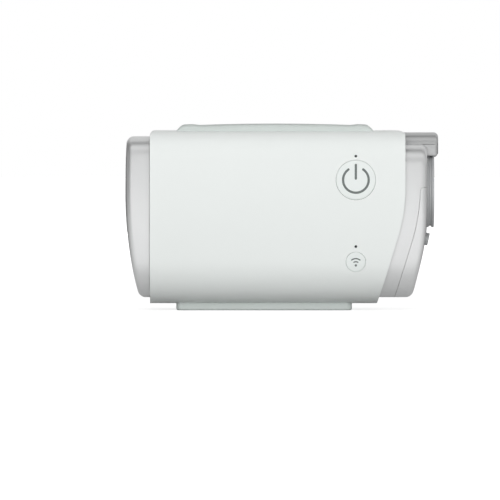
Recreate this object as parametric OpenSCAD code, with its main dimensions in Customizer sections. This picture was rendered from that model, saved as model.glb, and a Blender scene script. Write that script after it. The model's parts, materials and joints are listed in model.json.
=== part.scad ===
// Travel positive-pressure breathing unit, millimetres.
// Front face looks along -Y, the air outlet is at +X, the filter end at -X, and it stands on z = 0.

/* [Body] */
// Overall width, from the filter end to the tip of the outlet hood
body_w = 136; // [134:1:150]
// Overall depth, from the crown of the front face to the rubber feet
body_d = 52; // [52:1:60]
// Height of the white case, without its two grip pads
case_h = 75; // [75:1:84]
// Wall of the white case
case_wall = 1.8; // [1.4:0.1:2.2]
// Radius of the crown across the front face
front_crown_r = 260; // [200:10:400]
// Radius of the case's top front edge
top_front_r = 11; // [9:0.5:12]
// Radius of the case's bottom front edge
bottom_front_r = 20; // [16:1:22]
// Radius of the case's two rear edges
back_r = 7; // [5:0.5:7.5]

/* [Case ends] */
// Width of the grey filter cover that shows past the white case
filter_band = 10.6; // [10:0.2:13]
// Width of the grey cap that shows past the white case at the outlet end
outlet_band = 9; // [8:0.5:10]
// How far the hood reaches out over the outlet, past the end cap
hood_reach = 4.9; // [4:0.1:6]
// Lean of the white case's right edge below its bend, in degrees
case_lean = 17; // [12:1:18]
// Lean of the end cap's outer edge below its bend, in degrees
end_lean = 12.5; // [10:0.5:14]
// Step from the white case down to the grey ends
cap_step = 2.6; // [2.4:0.1:3]
// Wall of the grey ends
cap_wall = 1.8; // [1.4:0.1:2]
// How far the outlet cap's top lies below the top of the case
cap_drop = 5.8; // [5:0.2:6.4]
// Radius of the filter cover's bowed end
filter_end_r = 180; // [150:10:300]
// Width of the cap that shows between the white case and the port panel
panel_inset = 5.8; // [5:0.2:6.4]
// Height of the intake slots in the filter cover
slot_h = 2.2; // [1.6:0.1:2.6]

/* [Air outlet] */
// Radius of the outlet bore
outlet_bore_r = 11; // [10.5:0.1:11.4]
// Wall of the outlet tube
outlet_wall = 1.6; // [1.4:0.1:2]
// Radius of the outlet flange
flange_r = 16.5; // [16:0.1:17]
// Depth of the outlet flange
flange_t = 2.9; // [2.5:0.1:3.4]

/* [Power socket] */
// Radius of the socket's collar
socket_r = 2.75; // [2.6:0.05:3.2]
// Radius of the socket's bore
socket_bore_r = 1.9; // [1.7:0.05:2.1]
// Radius of the contact pin
contact_r = 0.65; // [0.5:0.05:0.8]

/* [Buttons and lights] */
// Radius of the power button
power_button_r = 8.5; // [7.5:0.1:9]
// Radius of the wireless button
wireless_button_r = 4.2; // [3.8:0.1:4.5]
// Gap all round a button
button_gap = 0.25; // [0.15:0.05:0.35]
// Travel of both buttons
button_travel = 0.5; // [0.3:0.05:0.6]
// Radius of the two light pipes
light_r = 0.75; // [0.6:0.05:1]

/* [Pads and feet] */
// Height of the bottom grip pad
bottom_pad_h = 3; // [2:0.2:4]
// Height of the top grip pad
top_pad_h = 3; // [2:0.2:4]
// Radius of the rubber feet on the back
foot_r = 4.5; // [3.5:0.1:4.8]
// How far the rubber feet stand proud of the back
foot_proud = 1; // [0.6:0.1:1.4]

/* [Blower] */
// Radius of the impeller
impeller_r = 16; // [14:0.2:16.6]
// Number of impeller blades
blade_count = 11; // [7:1:13]
// Thickness of a blade
blade_t = 0.9; // [0.6:0.05:1.2]
// Radius of the motor shaft
shaft_r = 1.5; // [1.2:0.05:1.6]
// Wall of the blower housing
blower_wall = 1.6; // [1.2:0.1:2]
// Number of stator teeth and coils
tooth_count = 9; // [6:3:9]

/* [Boards and screws] */
// Thickness of the two circuit boards
board_t = 1.6; // [1:0.1:1.8]
// Radius of the case screws
case_screw_r = 1.25; // [1:0.05:1.4]
// Radius of the board and blower screws
small_screw_r = 0.9; // [0.7:0.05:1]

/* [Hidden] */

$fn = 48;
FINE = 96;
arc_n = 10;       // chords in a quarter turn of an outline
crown_n = 8;      // chords across the crowned front
far = 200;        // reach of a cutting tool past the part
fit = 0.2;        // clearance of pieces that locate each other
seat = 0.3;       // gap between pieces that lie against each other
seam = 0.25;      // visible seam between two covers
run_gap = 0.05;   // radial clearance of a shaft or screw in its bore

// Case
front_y = -body_d / 2;
back_y = body_d / 2 - foot_proud;
case_bottom = bottom_pad_h;
case_top = case_bottom + case_h;
left_x = -body_w / 2;
end_x = body_w / 2 - hood_reach;
case_left = left_x + filter_band;
case_right = end_x - outlet_band;
crown_z = case_bottom + 0.52 * case_h;
crown_y = front_y + front_crown_r;
seam_y = back_y - 11;
lip = 2.4;              // height of the locating lip at the case seam
lip_t = 1;
case_corner_r = 3;      // corner of the case's left edge, seen from the front
shoulder_r = 9;         // the top edge rounds down a little before the outlet end
shoulder_run = 3.8;
case_bend_z = case_top - 24;
case_bend_r = 75;
end_bend_z = case_top - 36;
end_bend_r = 41.6;

// Grey ends
cap_top = case_top - cap_drop;
cap_bottom = case_bottom + cap_step;
cap_corner_r = 2.4;
cap_edge_r = 3;         // rounding of the ends, seen from above
cap_grip = 5;           // how deep the cap's flange reaches into the case
flange_wall = 2.2;
panel_corner_r = 1.6;

// Outlet
outlet_y = 0;
outlet_z = case_top - 0.34 * case_h;
tube_r = outlet_bore_r + outlet_wall;
panel_top = outlet_z + 1.4;
tube_in_x = end_x - 13;
flange_x = end_x + 0.2;
port_tip = flange_x + flange_t;

// Hood
hood_front_y = outlet_y - 10;
hood_back_y = outlet_y + 18;
hood_low_z = cap_top - 5.8;
hood_top_z = case_top - 0.8;
hood_r = 1.6;

// Power socket, square to the leaning part of the end
socket_z = outlet_z - 21.5;
socket_y = 0;
socket_out = 2.1;
socket_in = 7;

// Where the rear of the socket lies
end_line = (end_x - end_bend_r) * cos(end_lean) - end_bend_z * sin(end_lean) + end_bend_r;
socket_rear_x = (end_line + sin(end_lean) * socket_z) / cos(end_lean)
  - (socket_in + 1.3) * cos(end_lean);
socket_rear_z = socket_z + socket_in * sin(end_lean);

// Buttons
button_lip = 0.8;                 // the flange behind the case wall
power_x = case_right - 22.1;
power_z = case_top - 20.9;
wireless_x = power_x;
wireless_z = case_bottom + 18.5;
power_light_z = power_z + power_button_r + button_lip + light_r + seam;
wireless_light_z = wireless_z + wireless_button_r + 2.5;
board_y = front_y + 6.6;          // front of the button board
switch_h = 1.2;
plunger_y = board_y - switch_h - 0.8;
plunger_r = 1.1;
button_back_y = plunger_y - 0.2;
switch_w = 4.6;
board_left = power_x - 6.4;
board_right = power_x + 8;
board_low = case_bottom + 16;
board_high = power_light_z + 2.6;

// Screw posts: [x, z]
post_low_z = case_bottom + 11.5;
post_high_z = case_top - 11.5;
post_left_x = case_left + 7.4;
POSTS = [
  [post_left_x, post_low_z], [post_left_x, post_high_z],
  [case_right - 17.3, post_low_z], [case_right - 32.1, post_high_z]
];
post_r = 3;
screw_head_r = 2.3;
screw_head_h = 1.5;
foot_recess = 0.9;
BOARD_POSTS = [[board_left + 1.9, crown_z], [board_right - 1.9, crown_z]];
small_post_r = 1.9;
small_head_r = 1.7;
small_head_h = 1.1;

// Stack from the back wall forward
board_back_y = back_y - case_wall - 5.2;   // rear of the main board
board_front_y = board_back_y - board_t;
chassis_back_y = board_front_y - 3.4;
chassis_t = 2;
connector_h = 3.2;
chassis_front_y = chassis_back_y - chassis_t;
mount_t = 1.4;
base_back_y = chassis_front_y - mount_t;
floor_y = base_back_y - blower_wall;
channel_depth = 17.4;
channel_front_y = floor_y - channel_depth;
cover_front_y = channel_front_y - blower_wall;
eye_collar = 1.4;

// Blower, its axis along Y
blower_x = case_right - 46.1;
blower_z = outlet_z - 18;
scroll_start_r = impeller_r + 2;
scroll_grow = 8;
scroll_end_r = scroll_start_r + scroll_grow;
scroll_from = 51;       // degrees, at the tongue
scroll_sweep = 321;
scroll_n = 40;
channel_h = 12;
scroll_x = blower_x + 30;
eye_r = 8.5;
eye_wall = 1.5;
EARS = [[-30, 23.6], [-135, 26.4], [140, 28.4]];
ear_r = 3;
shroud_y = channel_front_y + 0.5;
shroud_t = 0.8;
disc_y = shroud_y + 6.8;
disc_t = 1.2;
cup_y = disc_y + disc_t + 0.4;
cup_r = impeller_r - 2.6;
cup_wall = 0.8;
cup_depth = 6.6;
magnet_t = 1.2;
stator_r = cup_r - cup_wall - magnet_t - 0.4;
bearing_r = 4;
bearing_t = 2.6;
tube_wall = 1.3;
bearing_tube_y = cup_y + cup_wall + 0.6;
motor_well_r = cup_r + 0.8;
motor_well_wall = 1.2;
stator_y = bearing_tube_y + 0.6;
stator_t = 4.4;

// Inlet, from the filter to the blower's eye
muffler_front_y = front_y + 7;
intake_front_y = muffler_front_y + 6;
intake_back_y = chassis_front_y - 2;
intake_y = (intake_front_y + intake_back_y) / 2;
intake_z = crown_z - 1.5;
intake_half_y = (intake_back_y - intake_front_y) / 2;
intake_half_z = case_h / 2 - 20.5;
collar_wall = 2;
bulkhead_x = case_left + seat - 0.1;
bulkhead_t = 2;
collar_tip_x = case_left - 3;
filter_x = collar_tip_x - 0.3;
filter_t = 2.4;
tray_wall = 1.2;
ledge_wall = 3.2;
cover_rim_x = case_left - 0.1;
duct_front_y = cover_front_y - 5.6;
duct_wall = 1.2;
duct_r = 12.6;
muffler_wall = 1.6;
muffler_left_x = post_left_x + post_r + 0.6;
muffler_right_x = blower_x - 33;
muffler_low_z = blower_z - duct_r - 2;
muffler_high_z = intake_z + intake_half_z + 3.6;
foam_reach = 5;         // how far the foam reaches into the line of the intake
slot_pitch = 5;
slot_len = 2 * (intake_half_y - 2);

// Outlet duct, with a pressure tap on the side of its taper
boot_wall = 1;
boot_grip = 3.2;
boot_gap = 0.1;
boot_in_x = scroll_x - boot_grip;
boot_out_x = tube_in_x + 3.5;
sensor_x = scroll_x + 3.2;
sensor_z = outlet_z;
sensor_t = 1.6;
sensor_w = 7;
tap_share = (sensor_x - scroll_x) / (tube_in_x - scroll_x);
tap_base_y = (base_back_y + boot_gap + boot_wall) * (1 - tap_share)
  + (outlet_y + tube_r + boot_gap + boot_wall) * tap_share;
tap_end_y = tap_base_y + 0.9;

// Inner frame and boards
chassis_left_x = bulkhead_x + bulkhead_t + 0.6;
chassis_right_x = case_right - 15.6;
main_low = post_low_z + 5.6;
main_high = post_high_z - 4.4;
main_left = case_left + 13;
main_right = case_right - 11;
STANDOFFS = [
  [main_left + 3, main_low + 3], [main_left + 3, main_high - 3],
  [main_right - 10, main_low + 3], [blower_x + 22, main_high - 3]
];

// Grip pads
pad_left = case_left + 11.4;
top_pad_right = case_right - 14.1;
bottom_pad_right = case_right - 23.6;
pad_arch_r = 900;
pad_end_l = 8.5;        // length of the raised part at each end of the top pad
pad_end_rise = 0.5;
pad_n = 32;

// Colours
WHITE = [0.93, 0.94, 0.94];
GREY = [0.80, 0.81, 0.81];
PANEL_GREY = [0.83, 0.84, 0.84];
DARK = [0.36, 0.38, 0.39];
RUBBER = [0.80, 0.83, 0.82];
FOOT = [0.45, 0.46, 0.47];
STEEL = [0.70, 0.71, 0.73];
BOARD = [0.10, 0.36, 0.22];
BLACK = [0.12, 0.12, 0.13];
COPPER = [0.80, 0.48, 0.24];
GOLD = [0.85, 0.70, 0.30];
FOAM = [0.28, 0.29, 0.31];
CLEAR = [0.90, 0.92, 0.95, 0.6];
SMOKE = [0.22, 0.23, 0.23];
NATURAL = [0.88, 0.87, 0.83];

// ---------------------------------------------------------------- outlines

// Points on an arc about c, from angle a0 to a1
function arc(c, r, a0, a1, n) =
  [for (k = [0:n]) let (a = a0 + (a1 - a0) * k / n) c + r * [cos(a), sin(a)]];

function middle(points) = [for (k = [1:len(points) - 2]) points[k]];

// Centre of a fillet of radius r that is tangent to the crown and lies r inside the level line
function crown_fillet(crown_c, crown_r, r, level) =
  [crown_c.x - sqrt(pow(crown_r - r, 2) - pow(level - crown_c.y, 2)), level];

// Closed outline with a crowned side at low u, flat elsewhere, drawn inset from its edge.
// u runs from the crown inward, v upward: low and high are its limits in v, back its limit in u.
function crowned_outline(crown_c, crown_r, back, low, high, r_high, r_low, r_back, inset) =
  let (
    high_c = crown_fillet(crown_c, crown_r, r_high, high - r_high),
    low_c = crown_fillet(crown_c, crown_r, r_low, low + r_low),
    a_high = 180 - asin((high_c.y - crown_c.y) / (crown_r - r_high)),
    a_low = 180 + asin((crown_c.y - low_c.y) / (crown_r - r_low))
  )
  concat(
    arc([back - r_back, high - r_back], r_back - inset, 0, 90, arc_n),
    arc(high_c, r_high - inset, 90, a_high, arc_n),
    middle(arc(crown_c, crown_r - inset, a_high, a_low, crown_n)),
    arc(low_c, r_low - inset, a_low, 270, arc_n),
    arc([back - r_back, low + r_back], r_back - inset, 270, 360, arc_n)
  );

// Side view of the case in Y and Z, drawn inset from its outside
function case_outline(inset) =
  crowned_outline([crown_y, crown_z], front_crown_r, back_y, case_bottom, case_top,
                  top_front_r, bottom_front_r, back_r, inset);

// Side view of the grey end cap, whose top lies lower
function cap_outline(inset) =
  crowned_outline([crown_y, crown_z], front_crown_r - cap_step, back_y - cap_step, cap_bottom,
                  cap_top, top_front_r - cap_step, bottom_front_r - cap_step,
                  back_r - cap_step, inset);

// Line of a leaning edge in X and Z: straight down, round its bend, then on at its lean.
// shift moves it outward.
function leaning_edge(x, bend_z, bend_r, lean, shift, low, high) =
  let (
    c = [x - bend_r, bend_z],
    last = c + (bend_r + shift) * [cos(lean), -sin(lean)],
    run = (last.y - low) / cos(lean)
  )
  concat([[x + shift, high]], arc(c, bend_r + shift, 0, -lean, crown_n),
         [last - run * [sin(lean), cos(lean)]]);

function case_edge(shift, low = -far, high = far) =
  leaning_edge(case_right, case_bend_z, case_bend_r, case_lean, shift, low, high);

// X of the leaning part of the end at height z
function end_face_x(z) = (end_line + sin(end_lean) * z) / cos(end_lean);

function turned(points) = [for (k = [len(points) - 1:-1:0]) points[k]];

// Front view of the outlet end: from the edge of the case, moved by start, out to the end
function end_region(start, inset = 0) =
  let (
    low_r = cap_corner_r,
    low_z = cap_bottom + low_r,
    low_c = [(end_line - low_r + sin(end_lean) * low_z) / cos(end_lean), low_z]
  )
  concat(
    arc([end_x - cap_corner_r, cap_top - cap_corner_r], cap_corner_r - inset, 90, 0, arc_n),
    arc([end_x - end_bend_r, end_bend_z], end_bend_r - inset, 0, -end_lean, crown_n),
    arc(low_c, low_r - inset, -end_lean, -90, arc_n),
    turned(case_edge(start, cap_bottom + inset, cap_top - inset))
  );

// Spiral of the blower's scroll in X and Z, grown outward by shift
function scroll_points(shift) =
  [for (k = [0:scroll_n])
    let (
      a = scroll_from - scroll_sweep * k / scroll_n,
      r = scroll_start_r + scroll_grow * k / scroll_n + shift
    )
    [blower_x + r * cos(a), blower_z + r * sin(a)]];

// ---------------------------------------------------------------- helpers

// Carry an outline in Y and Z along X
module along_x(x0, x1) {
  translate([x0, 0, 0]) rotate([90, 0, 90]) linear_extrude(x1 - x0) children();
}

// Carry an outline in X and Z along Y
module along_y(y0, y1) {
  translate([0, y1, 0]) rotate([90, 0, 0]) linear_extrude(y1 - y0) children();
}

// Carry an outline in X and Y up Z
module up_z(z0, z1) {
  translate([0, 0, z0]) linear_extrude(z1 - z0) children();
}

// Rod along Y about the point [x, z]
module rod_y(p, r, y0, y1, fine = $fn) {
  translate([p.x, y1, p.y]) rotate([90, 0, 0]) cylinder(r = r, h = y1 - y0, $fn = fine);
}

// Ring along Y about the point [x, z]
module ring_y(p, r_out, r_in, y0, y1, fine = $fn) {
  difference() {
    rod_y(p, r_out, y0, y1, fine);
    rod_y(p, r_in, y0 - 1, y1 + 1, fine);
  }
}

// Box between two corners
module box(a, b) {
  translate(a) cube(b - a);
}

// Body of the case's own side view, over the whole width
module case_solid(inset) {
  along_x(left_x, end_x) polygon(case_outline(inset));
}

// Front view of the white case
module case_front_view() {
  corner = [case_left + case_corner_r, case_top - case_corner_r];
  shoulder = [case_right - shoulder_run, case_top - shoulder_r];
  end_a = acos(shoulder_run / shoulder_r);
  polygon(concat(
    turned(arc(corner, case_corner_r, 90, 180, arc_n)),
    [[corner.x, far], [shoulder.x, far]],
    arc(shoulder, shoulder_r, 90, end_a, arc_n),
    case_edge(0, high = shoulder.y + shoulder_r * sin(end_a) - 0.01),
    [[case_left, -far]]
  ));
}

// Top view of the grey ends, rounded at their corners
module ends_top_view(inset) {
  x0 = left_x + inset;
  x1 = end_x - inset;
  y0 = front_y + cap_step + inset;
  y1 = back_y - cap_step - inset;
  r = cap_edge_r - inset * 0.9;
  polygon(concat(
    arc([x1 - r, y1 - r], r, 0, 90, arc_n), arc([x0 + r, y1 - r], r, 90, 180, arc_n),
    arc([x0 + r, y0 + r], r, 180, 270, arc_n), arc([x1 - r, y0 + r], r, 270, 360, arc_n)
  ));
}

// Screw with a pan head: tip at y0, head from y1
module screw_y(p, r, head_r, head_h, y0, y1) {
  rod_y(p, r, y0, y1 + 0.1);
  rod_y(p, head_r, y1, y1 + head_h);
}

module ear_place() {
  for (e = EARS)
    translate([blower_x + e[1] * cos(e[0]), 0, blower_z + e[1] * sin(e[0])]) children();
}

// ---------------------------------------------------------------- case

module wrapped_shell(y0, y1) {
  intersection() {
    along_x(case_left, end_x) difference() {
      polygon(case_outline(0));
      polygon(case_outline(case_wall));
    }
    along_y(y0, y1) case_front_view();
  }
}

module front_cover() {
  color(WHITE) difference() {
    union() {
      wrapped_shell(front_y - 1, seam_y);
      intersection() {
        union() {
          for (p = POSTS) rod_y(p, post_r, front_y, chassis_front_y);
          for (p = BOARD_POSTS) rod_y(p, small_post_r, front_y, board_y);
        }
        case_solid(case_wall / 2);
      }
    }
    for (p = POSTS)
      rod_y(p, case_screw_r + run_gap, chassis_front_y - 9, chassis_front_y + 1);
    for (p = BOARD_POSTS)
      rod_y(p, small_screw_r + run_gap, board_y - 3, board_y + 1);
    rod_y([power_x, power_z], power_button_r + button_gap, front_y - 1, board_y, FINE);
    rod_y([wireless_x, wireless_z], wireless_button_r + button_gap, front_y - 1, board_y, FINE);
    rod_y([power_x, power_light_z], light_r + run_gap, front_y - 1, board_y);
    rod_y([wireless_x, wireless_light_z], light_r + run_gap, front_y - 1, board_y);
  }
}

module rear_cover() {
  color(WHITE) difference() {
    union() {
      wrapped_shell(seam_y + seam, back_y + 1);
      intersection() {
        along_x(case_left, end_x) difference() {
          polygon(case_outline(case_wall + fit));
          polygon(case_outline(case_wall + fit + lip_t));
        }
        along_y(seam_y - lip, seam_y + seam + lip) intersection() {
          case_front_view();
          polygon(concat(case_edge(-cap_grip - seat), [[case_left + 3, -far], [case_left + 3, far]]));
        }
      }
      intersection() {
        along_x(case_left, end_x) difference() {
          polygon(case_outline(case_wall / 2));
          polygon(case_outline(case_wall + fit + lip_t));
        }
        along_y(seam_y + seam, seam_y + seam + lip) intersection() {
          case_front_view();
          polygon(concat(case_edge(-cap_grip - seat), [[case_left + 3, -far], [case_left + 3, far]]));
        }
      }
      intersection() {
        for (p = POSTS) rod_y(p, post_r + 0.2, chassis_back_y, back_y);
        case_solid(case_wall / 2);
      }
    }
    for (p = POSTS) {
      rod_y(p, case_screw_r + 0.2, chassis_back_y - 1, back_y + 1);
      rod_y(p, screw_head_r + fit, back_y - foot_recess - screw_head_h - 0.1, back_y + 1);
      rod_y(p, foot_r + run_gap, back_y - foot_recess, back_y + 1);
    }
  }
}

module rubber_feet() {
  color(FOOT) for (p = POSTS) {
    rod_y(p, foot_r, back_y - foot_recess, back_y + foot_proud - 0.4);
    translate([p.x, back_y + foot_proud, p.y]) rotate([90, 0, 0])
      cylinder(r1 = foot_r - 0.5, r2 = foot_r, h = 0.4);
  }
}

module case_screws() {
  color(STEEL) for (p = POSTS) {
    head_y = back_y - foot_recess - screw_head_h;
    screw_y(p, case_screw_r, screw_head_r, screw_head_h, chassis_front_y - 8, head_y);
  }
}

function smooth(t) = let (c = max(0, min(1, t))) c * c * (3 - 2 * c);

// Top line of the top pad: a long arch that rises again at its two ends
function pad_line(x) =
  let (
    half = (top_pad_right - pad_left) / 2,
    d = abs(x - pad_left - half)
  )
  case_top + top_pad_h - d * d / (2 * pad_arch_r)
    + pad_end_rise * smooth((d - half + pad_end_l + 2) / 4);

// Grip pad along the top of the case
module top_grip_pad() {
  chamfer = 2.6;
  edge_r = 2;
  top = case_top + top_pad_h;
  run = top_pad_right - pad_left - 2 * chamfer;
  shoulder_z = case_top + top_pad_h * 0.7;
  color(RUBBER) intersection() {
    along_y(front_y, back_y) polygon(concat(
      [[pad_left, case_top], [pad_left + chamfer * 0.6, shoulder_z]],
      [for (k = [0:pad_n]) let (x = pad_left + chamfer + run * k / pad_n) [x, pad_line(x)]],
      [[top_pad_right - chamfer * 0.6, shoulder_z], [top_pad_right, case_top]]
    ));
    along_x(pad_left - 1, top_pad_right + 1) polygon(concat(
      [[front_y + 13.5, case_top], [back_y - 7.5, case_top]],
      arc([back_y - 7.5 - edge_r, top - edge_r], edge_r, 0, 90, arc_n),
      arc([front_y + 13.5 + edge_r, top - edge_r], edge_r, 90, 180, arc_n)
    ));
  }
}

// Grip pad under the case, on which it stands
module bottom_grip_pad() {
  right = bottom_pad_right;
  color(RUBBER) difference() {
    intersection() {
      along_y(front_y, back_y) polygon([
        [pad_left + 1, 0], [right - 1, 0], [right, 1], [right, case_bottom + 4],
        [pad_left, case_bottom + 4], [pad_left, 1]
      ]);
      along_x(pad_left - 1, right + 1) polygon(concat(
        arc([front_y + 18.2, 1.2], 1.2, 180, 270, arc_n),
        arc([back_y - 8.7, 1.2], 1.2, 270, 360, arc_n),
        [[back_y - 7.5, case_bottom + 4], [front_y + 17, case_bottom + 4]]
      ));
    }
    case_solid(0);
  }
}

// ---------------------------------------------------------------- outlet end

// Shell of the grey outlet end, from the case's edge moved by start
module end_shell(start) {
  difference() {
    intersection() {
      along_x(left_x, end_x) polygon(cap_outline(0));
      along_y(front_y, back_y) polygon(end_region(start));
      up_z(0, case_top) ends_top_view(0);
    }
    intersection() {
      along_x(left_x, end_x) polygon(cap_outline(cap_wall));
      along_y(front_y, back_y) polygon(end_region(start - 1, cap_wall));
      up_z(0, case_top) ends_top_view(cap_wall);
    }
    translate([end_x - 4, outlet_y, outlet_z]) rotate([0, 90, 0])
      cylinder(r = tube_r + fit, h = 8, $fn = FINE);
    translate([end_x - 0.9, outlet_y, outlet_z]) rotate([0, 90, 0])
      cylinder(r = tube_r + 2.1, h = 2, $fn = FINE);
  }
}

// Front view of the port panel, shrunk by gap
module panel_view(gap) {
  corner = [case_right + panel_inset + panel_corner_r, panel_top - panel_corner_r];
  intersection() {
    polygon(concat(case_edge(panel_inset + gap), [[far, -far], [far, far]]));
    union() {
      translate([corner.x, -far]) square([far, far + panel_top - gap]);
      translate([0, -far]) square([far, far + corner.y]);
      translate(corner) circle(r = panel_corner_r - gap);
    }
  }
}

module right_end_cap() {
  color(GREY) difference() {
    union() {
      end_shell(-cap_grip + flange_wall);
      // locating flange inside the mouth of the case
      intersection() {
        along_x(left_x, end_x) difference() {
          polygon(case_outline(case_wall + fit));
          polygon(cap_outline(cap_wall));
        }
        along_y(front_y, back_y) polygon(concat(
          case_edge(-cap_grip + flange_wall + 0.01), turned(case_edge(-cap_grip))));
      }
    }
    along_y(front_y - 1, back_y + 1) panel_view(0);
  }
}

module port_panel() {
  color(PANEL_GREY) difference() {
    intersection() {
      end_shell(0);
      along_y(front_y - 1, back_y + 1) panel_view(seam);
    }
    socket_place() translate([0, 0, -6]) cylinder(r = socket_r + 0.1, h = 12);
  }
}

// Origin on the leaning face of the end, z out of it
module socket_place() {
  translate([end_face_x(socket_z), socket_y, socket_z]) rotate([0, 90 + end_lean, 0]) children();
}

module outlet_hood() {
  arch_r = flange_r + 0.5;
  x0 = case_right + seam;
  x1 = body_w / 2;
  r = hood_r;
  color(GREY) difference() {
    intersection() {
      along_y(hood_front_y, hood_back_y) polygon(concat(
        [[x0, cap_top + 0.1], [x0, hood_top_z]],
        arc([x1 - r, hood_top_z - r], r, 90, 0, arc_n),
        arc([x1 - r, hood_low_z + r], r, 0, -90, arc_n),
        [[end_x + 0.1, hood_low_z], [end_x + 0.1, cap_top + 0.1]]
      ));
      up_z(0, case_top) polygon(concat(
        [[x0, hood_front_y]],
        arc([x1 - r, hood_front_y + r], r, -90, 0, arc_n),
        arc([x1 - r, hood_back_y - r], r, 0, 90, arc_n),
        [[x0, hood_back_y]]
      ));
      along_x(x0, x1) polygon(concat(
        [[hood_front_y, hood_low_z - 1]],
        turned(arc([hood_front_y + r, hood_top_z - r], r, 90, 180, arc_n)),
        turned(arc([hood_back_y - r, hood_top_z - r], r, 0, 90, arc_n)),
        [[hood_back_y, hood_low_z - 1]]
      ));
    }
    translate([end_x, outlet_y, outlet_z]) rotate([0, 90, 0])
      cylinder(r = arch_r, h = hood_reach + 1, $fn = FINE);
  }
}

// Outlet tube and its flange, turned about X, with the groove that a hose clip snaps into
module outlet_port() {
  edge = 0.5;
  groove_x = flange_x + 0.9;
  groove_w = 0.8;
  x = function (v) v - tube_in_x;
  color(DARK) translate([tube_in_x, outlet_y, outlet_z]) rotate([0, 90, 0])
    rotate_extrude($fn = FINE) polygon([
      [outlet_bore_r, 0], [tube_r, 0], [tube_r, x(flange_x)], [flange_r - edge, x(flange_x)],
      [flange_r, x(flange_x) + edge], [flange_r, x(groove_x)], [flange_r - 1.3, x(groove_x)],
      [flange_r - 1.3, x(groove_x + groove_w)], [flange_r, x(groove_x + groove_w)],
      [flange_r, x(port_tip) - edge], [flange_r - edge, x(port_tip)],
      [outlet_bore_r + edge, x(port_tip)], [outlet_bore_r, x(port_tip) - edge]
    ]);
}

module outlet_seal() {
  color(BLACK) translate([end_x - 0.8, outlet_y, outlet_z]) rotate([0, 90, 0])
    rotate_extrude($fn = FINE) translate([tube_r + 0.3, 0])
      square([1.5, flange_x - end_x + 0.75]);
}

module power_socket() {
  color(DARK) socket_place() difference() {
    union() {
      translate([0, 0, -socket_in]) cylinder(r = socket_r, h = socket_in + socket_out - 0.4);
      translate([0, 0, socket_out - 0.4])
        cylinder(r1 = socket_r, r2 = socket_r - 0.4, h = 0.4);
      translate([0, 0, -socket_in]) cylinder(r = socket_r + 1.2, h = socket_in - cap_wall - 0.3);
    }
    translate([0, 0, -socket_in + 1]) cylinder(r = socket_bore_r, h = socket_in + socket_out);
    translate([0, 0, -socket_in - 1]) cylinder(r = contact_r + run_gap, h = 3);
  }
}

module power_contact() {
  color(GOLD) socket_place() translate([0, 0, -socket_in - 1]) {
    cylinder(r = contact_r, h = socket_in + socket_out - 0.6);
  }
}

// ---------------------------------------------------------------- filter end

module intake_box(x0, x1, grow) {
  box([x0, intake_y - intake_half_y - grow, intake_z - intake_half_z - grow],
      [x1, intake_y + intake_half_y + grow, intake_z + intake_half_z + grow]);
}

module intake_bulkhead() {
  color(GREY) difference() {
    union() {
      along_x(bulkhead_x, bulkhead_x + bulkhead_t) polygon(case_outline(case_wall + fit));
      intake_box(collar_tip_x, bulkhead_x + 0.5, collar_wall);
    }
    intake_box(collar_tip_x - 1, bulkhead_x + bulkhead_t + 1, 0);
  }
}

// Front view of the filter cover, bowed at its end
module filter_cover_view(inset) {
  polygon(crowned_outline(
    [left_x + filter_end_r, crown_z + 9.5], filter_end_r, 0, cap_bottom, case_top - cap_step,
    cap_corner_r, cap_corner_r, cap_corner_r, inset));
}

module filter_cover() {
  tray = collar_wall + fit;
  color(GREY) difference() {
    union() {
      difference() {
        intersection() {
          along_x(left_x, cover_rim_x) polygon(case_outline(cap_step));
          along_y(front_y, back_y) filter_cover_view(0);
          up_z(0, case_top) ends_top_view(0);
        }
        intersection() {
          along_x(left_x, cover_rim_x + 1) polygon(case_outline(cap_step + cap_wall));
          along_y(front_y, back_y) filter_cover_view(cap_wall);
          up_z(0, case_top) ends_top_view(cap_wall);
        }
      }
      // tray that holds the filter and grips the collar
      intersection() {
        difference() {
          intake_box(left_x, collar_tip_x + 2.6, tray + tray_wall);
          intake_box(filter_x - filter_t - fit, cover_rim_x, tray);
          intake_box(left_x - 1, filter_x - filter_t, tray - ledge_wall);
        }
        along_y(front_y, back_y) filter_cover_view(cap_wall / 2);
      }
    }
    // intake slots through the end
    slots = floor((intake_half_z - 2) / slot_pitch);
    for (k = [-slots:slots])
      box([left_x - 1, intake_y - slot_len / 2, intake_z + k * slot_pitch - slot_h / 2],
          [filter_x - filter_t - 0.5, intake_y + slot_len / 2,
           intake_z + k * slot_pitch + slot_h / 2]);
  }
}

module air_filter() {
  color(NATURAL) intake_box(filter_x - filter_t, filter_x, collar_wall);
}

// Hollow box beside the blower, joined to the bulkhead by a neck between the case's posts
module muffler_box() {
  w = muffler_wall;
  x1 = muffler_right_x;
  y0 = muffler_front_y;
  y1 = chassis_front_y;
  color(NATURAL) difference() {
    union() {
      box([muffler_left_x, y0, muffler_low_z], [x1, y1, muffler_high_z]);
      intake_box(bulkhead_x + bulkhead_t, muffler_left_x + w / 2, w);
    }
    box([muffler_left_x + w, y0 + w, muffler_low_z + w], [x1 - w, y1 - w, muffler_high_z - w]);
    intake_box(bulkhead_x, muffler_left_x + w + 1, 0);
    box([x1 - w - 1, duct_front_y - fit, blower_z - duct_r - fit],
        [x1 + 1, cover_front_y + fit - 0.05, blower_z + duct_r + fit]);
  }
}

// Two foam slabs that line the top and bottom of the muffler
module muffler_foam() {
  in = muffler_wall + fit;
  x0 = muffler_left_x + in;
  x1 = muffler_right_x - in;
  y0 = muffler_front_y + in;
  y1 = chassis_front_y - in;
  color(FOAM) {
    box([x0, y0, muffler_low_z + in], [x1, y1, intake_z - intake_half_z + foam_reach]);
    box([x0, y0, intake_z + intake_half_z - foam_reach], [x1, y1, muffler_high_z - in]);
  }
}

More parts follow.
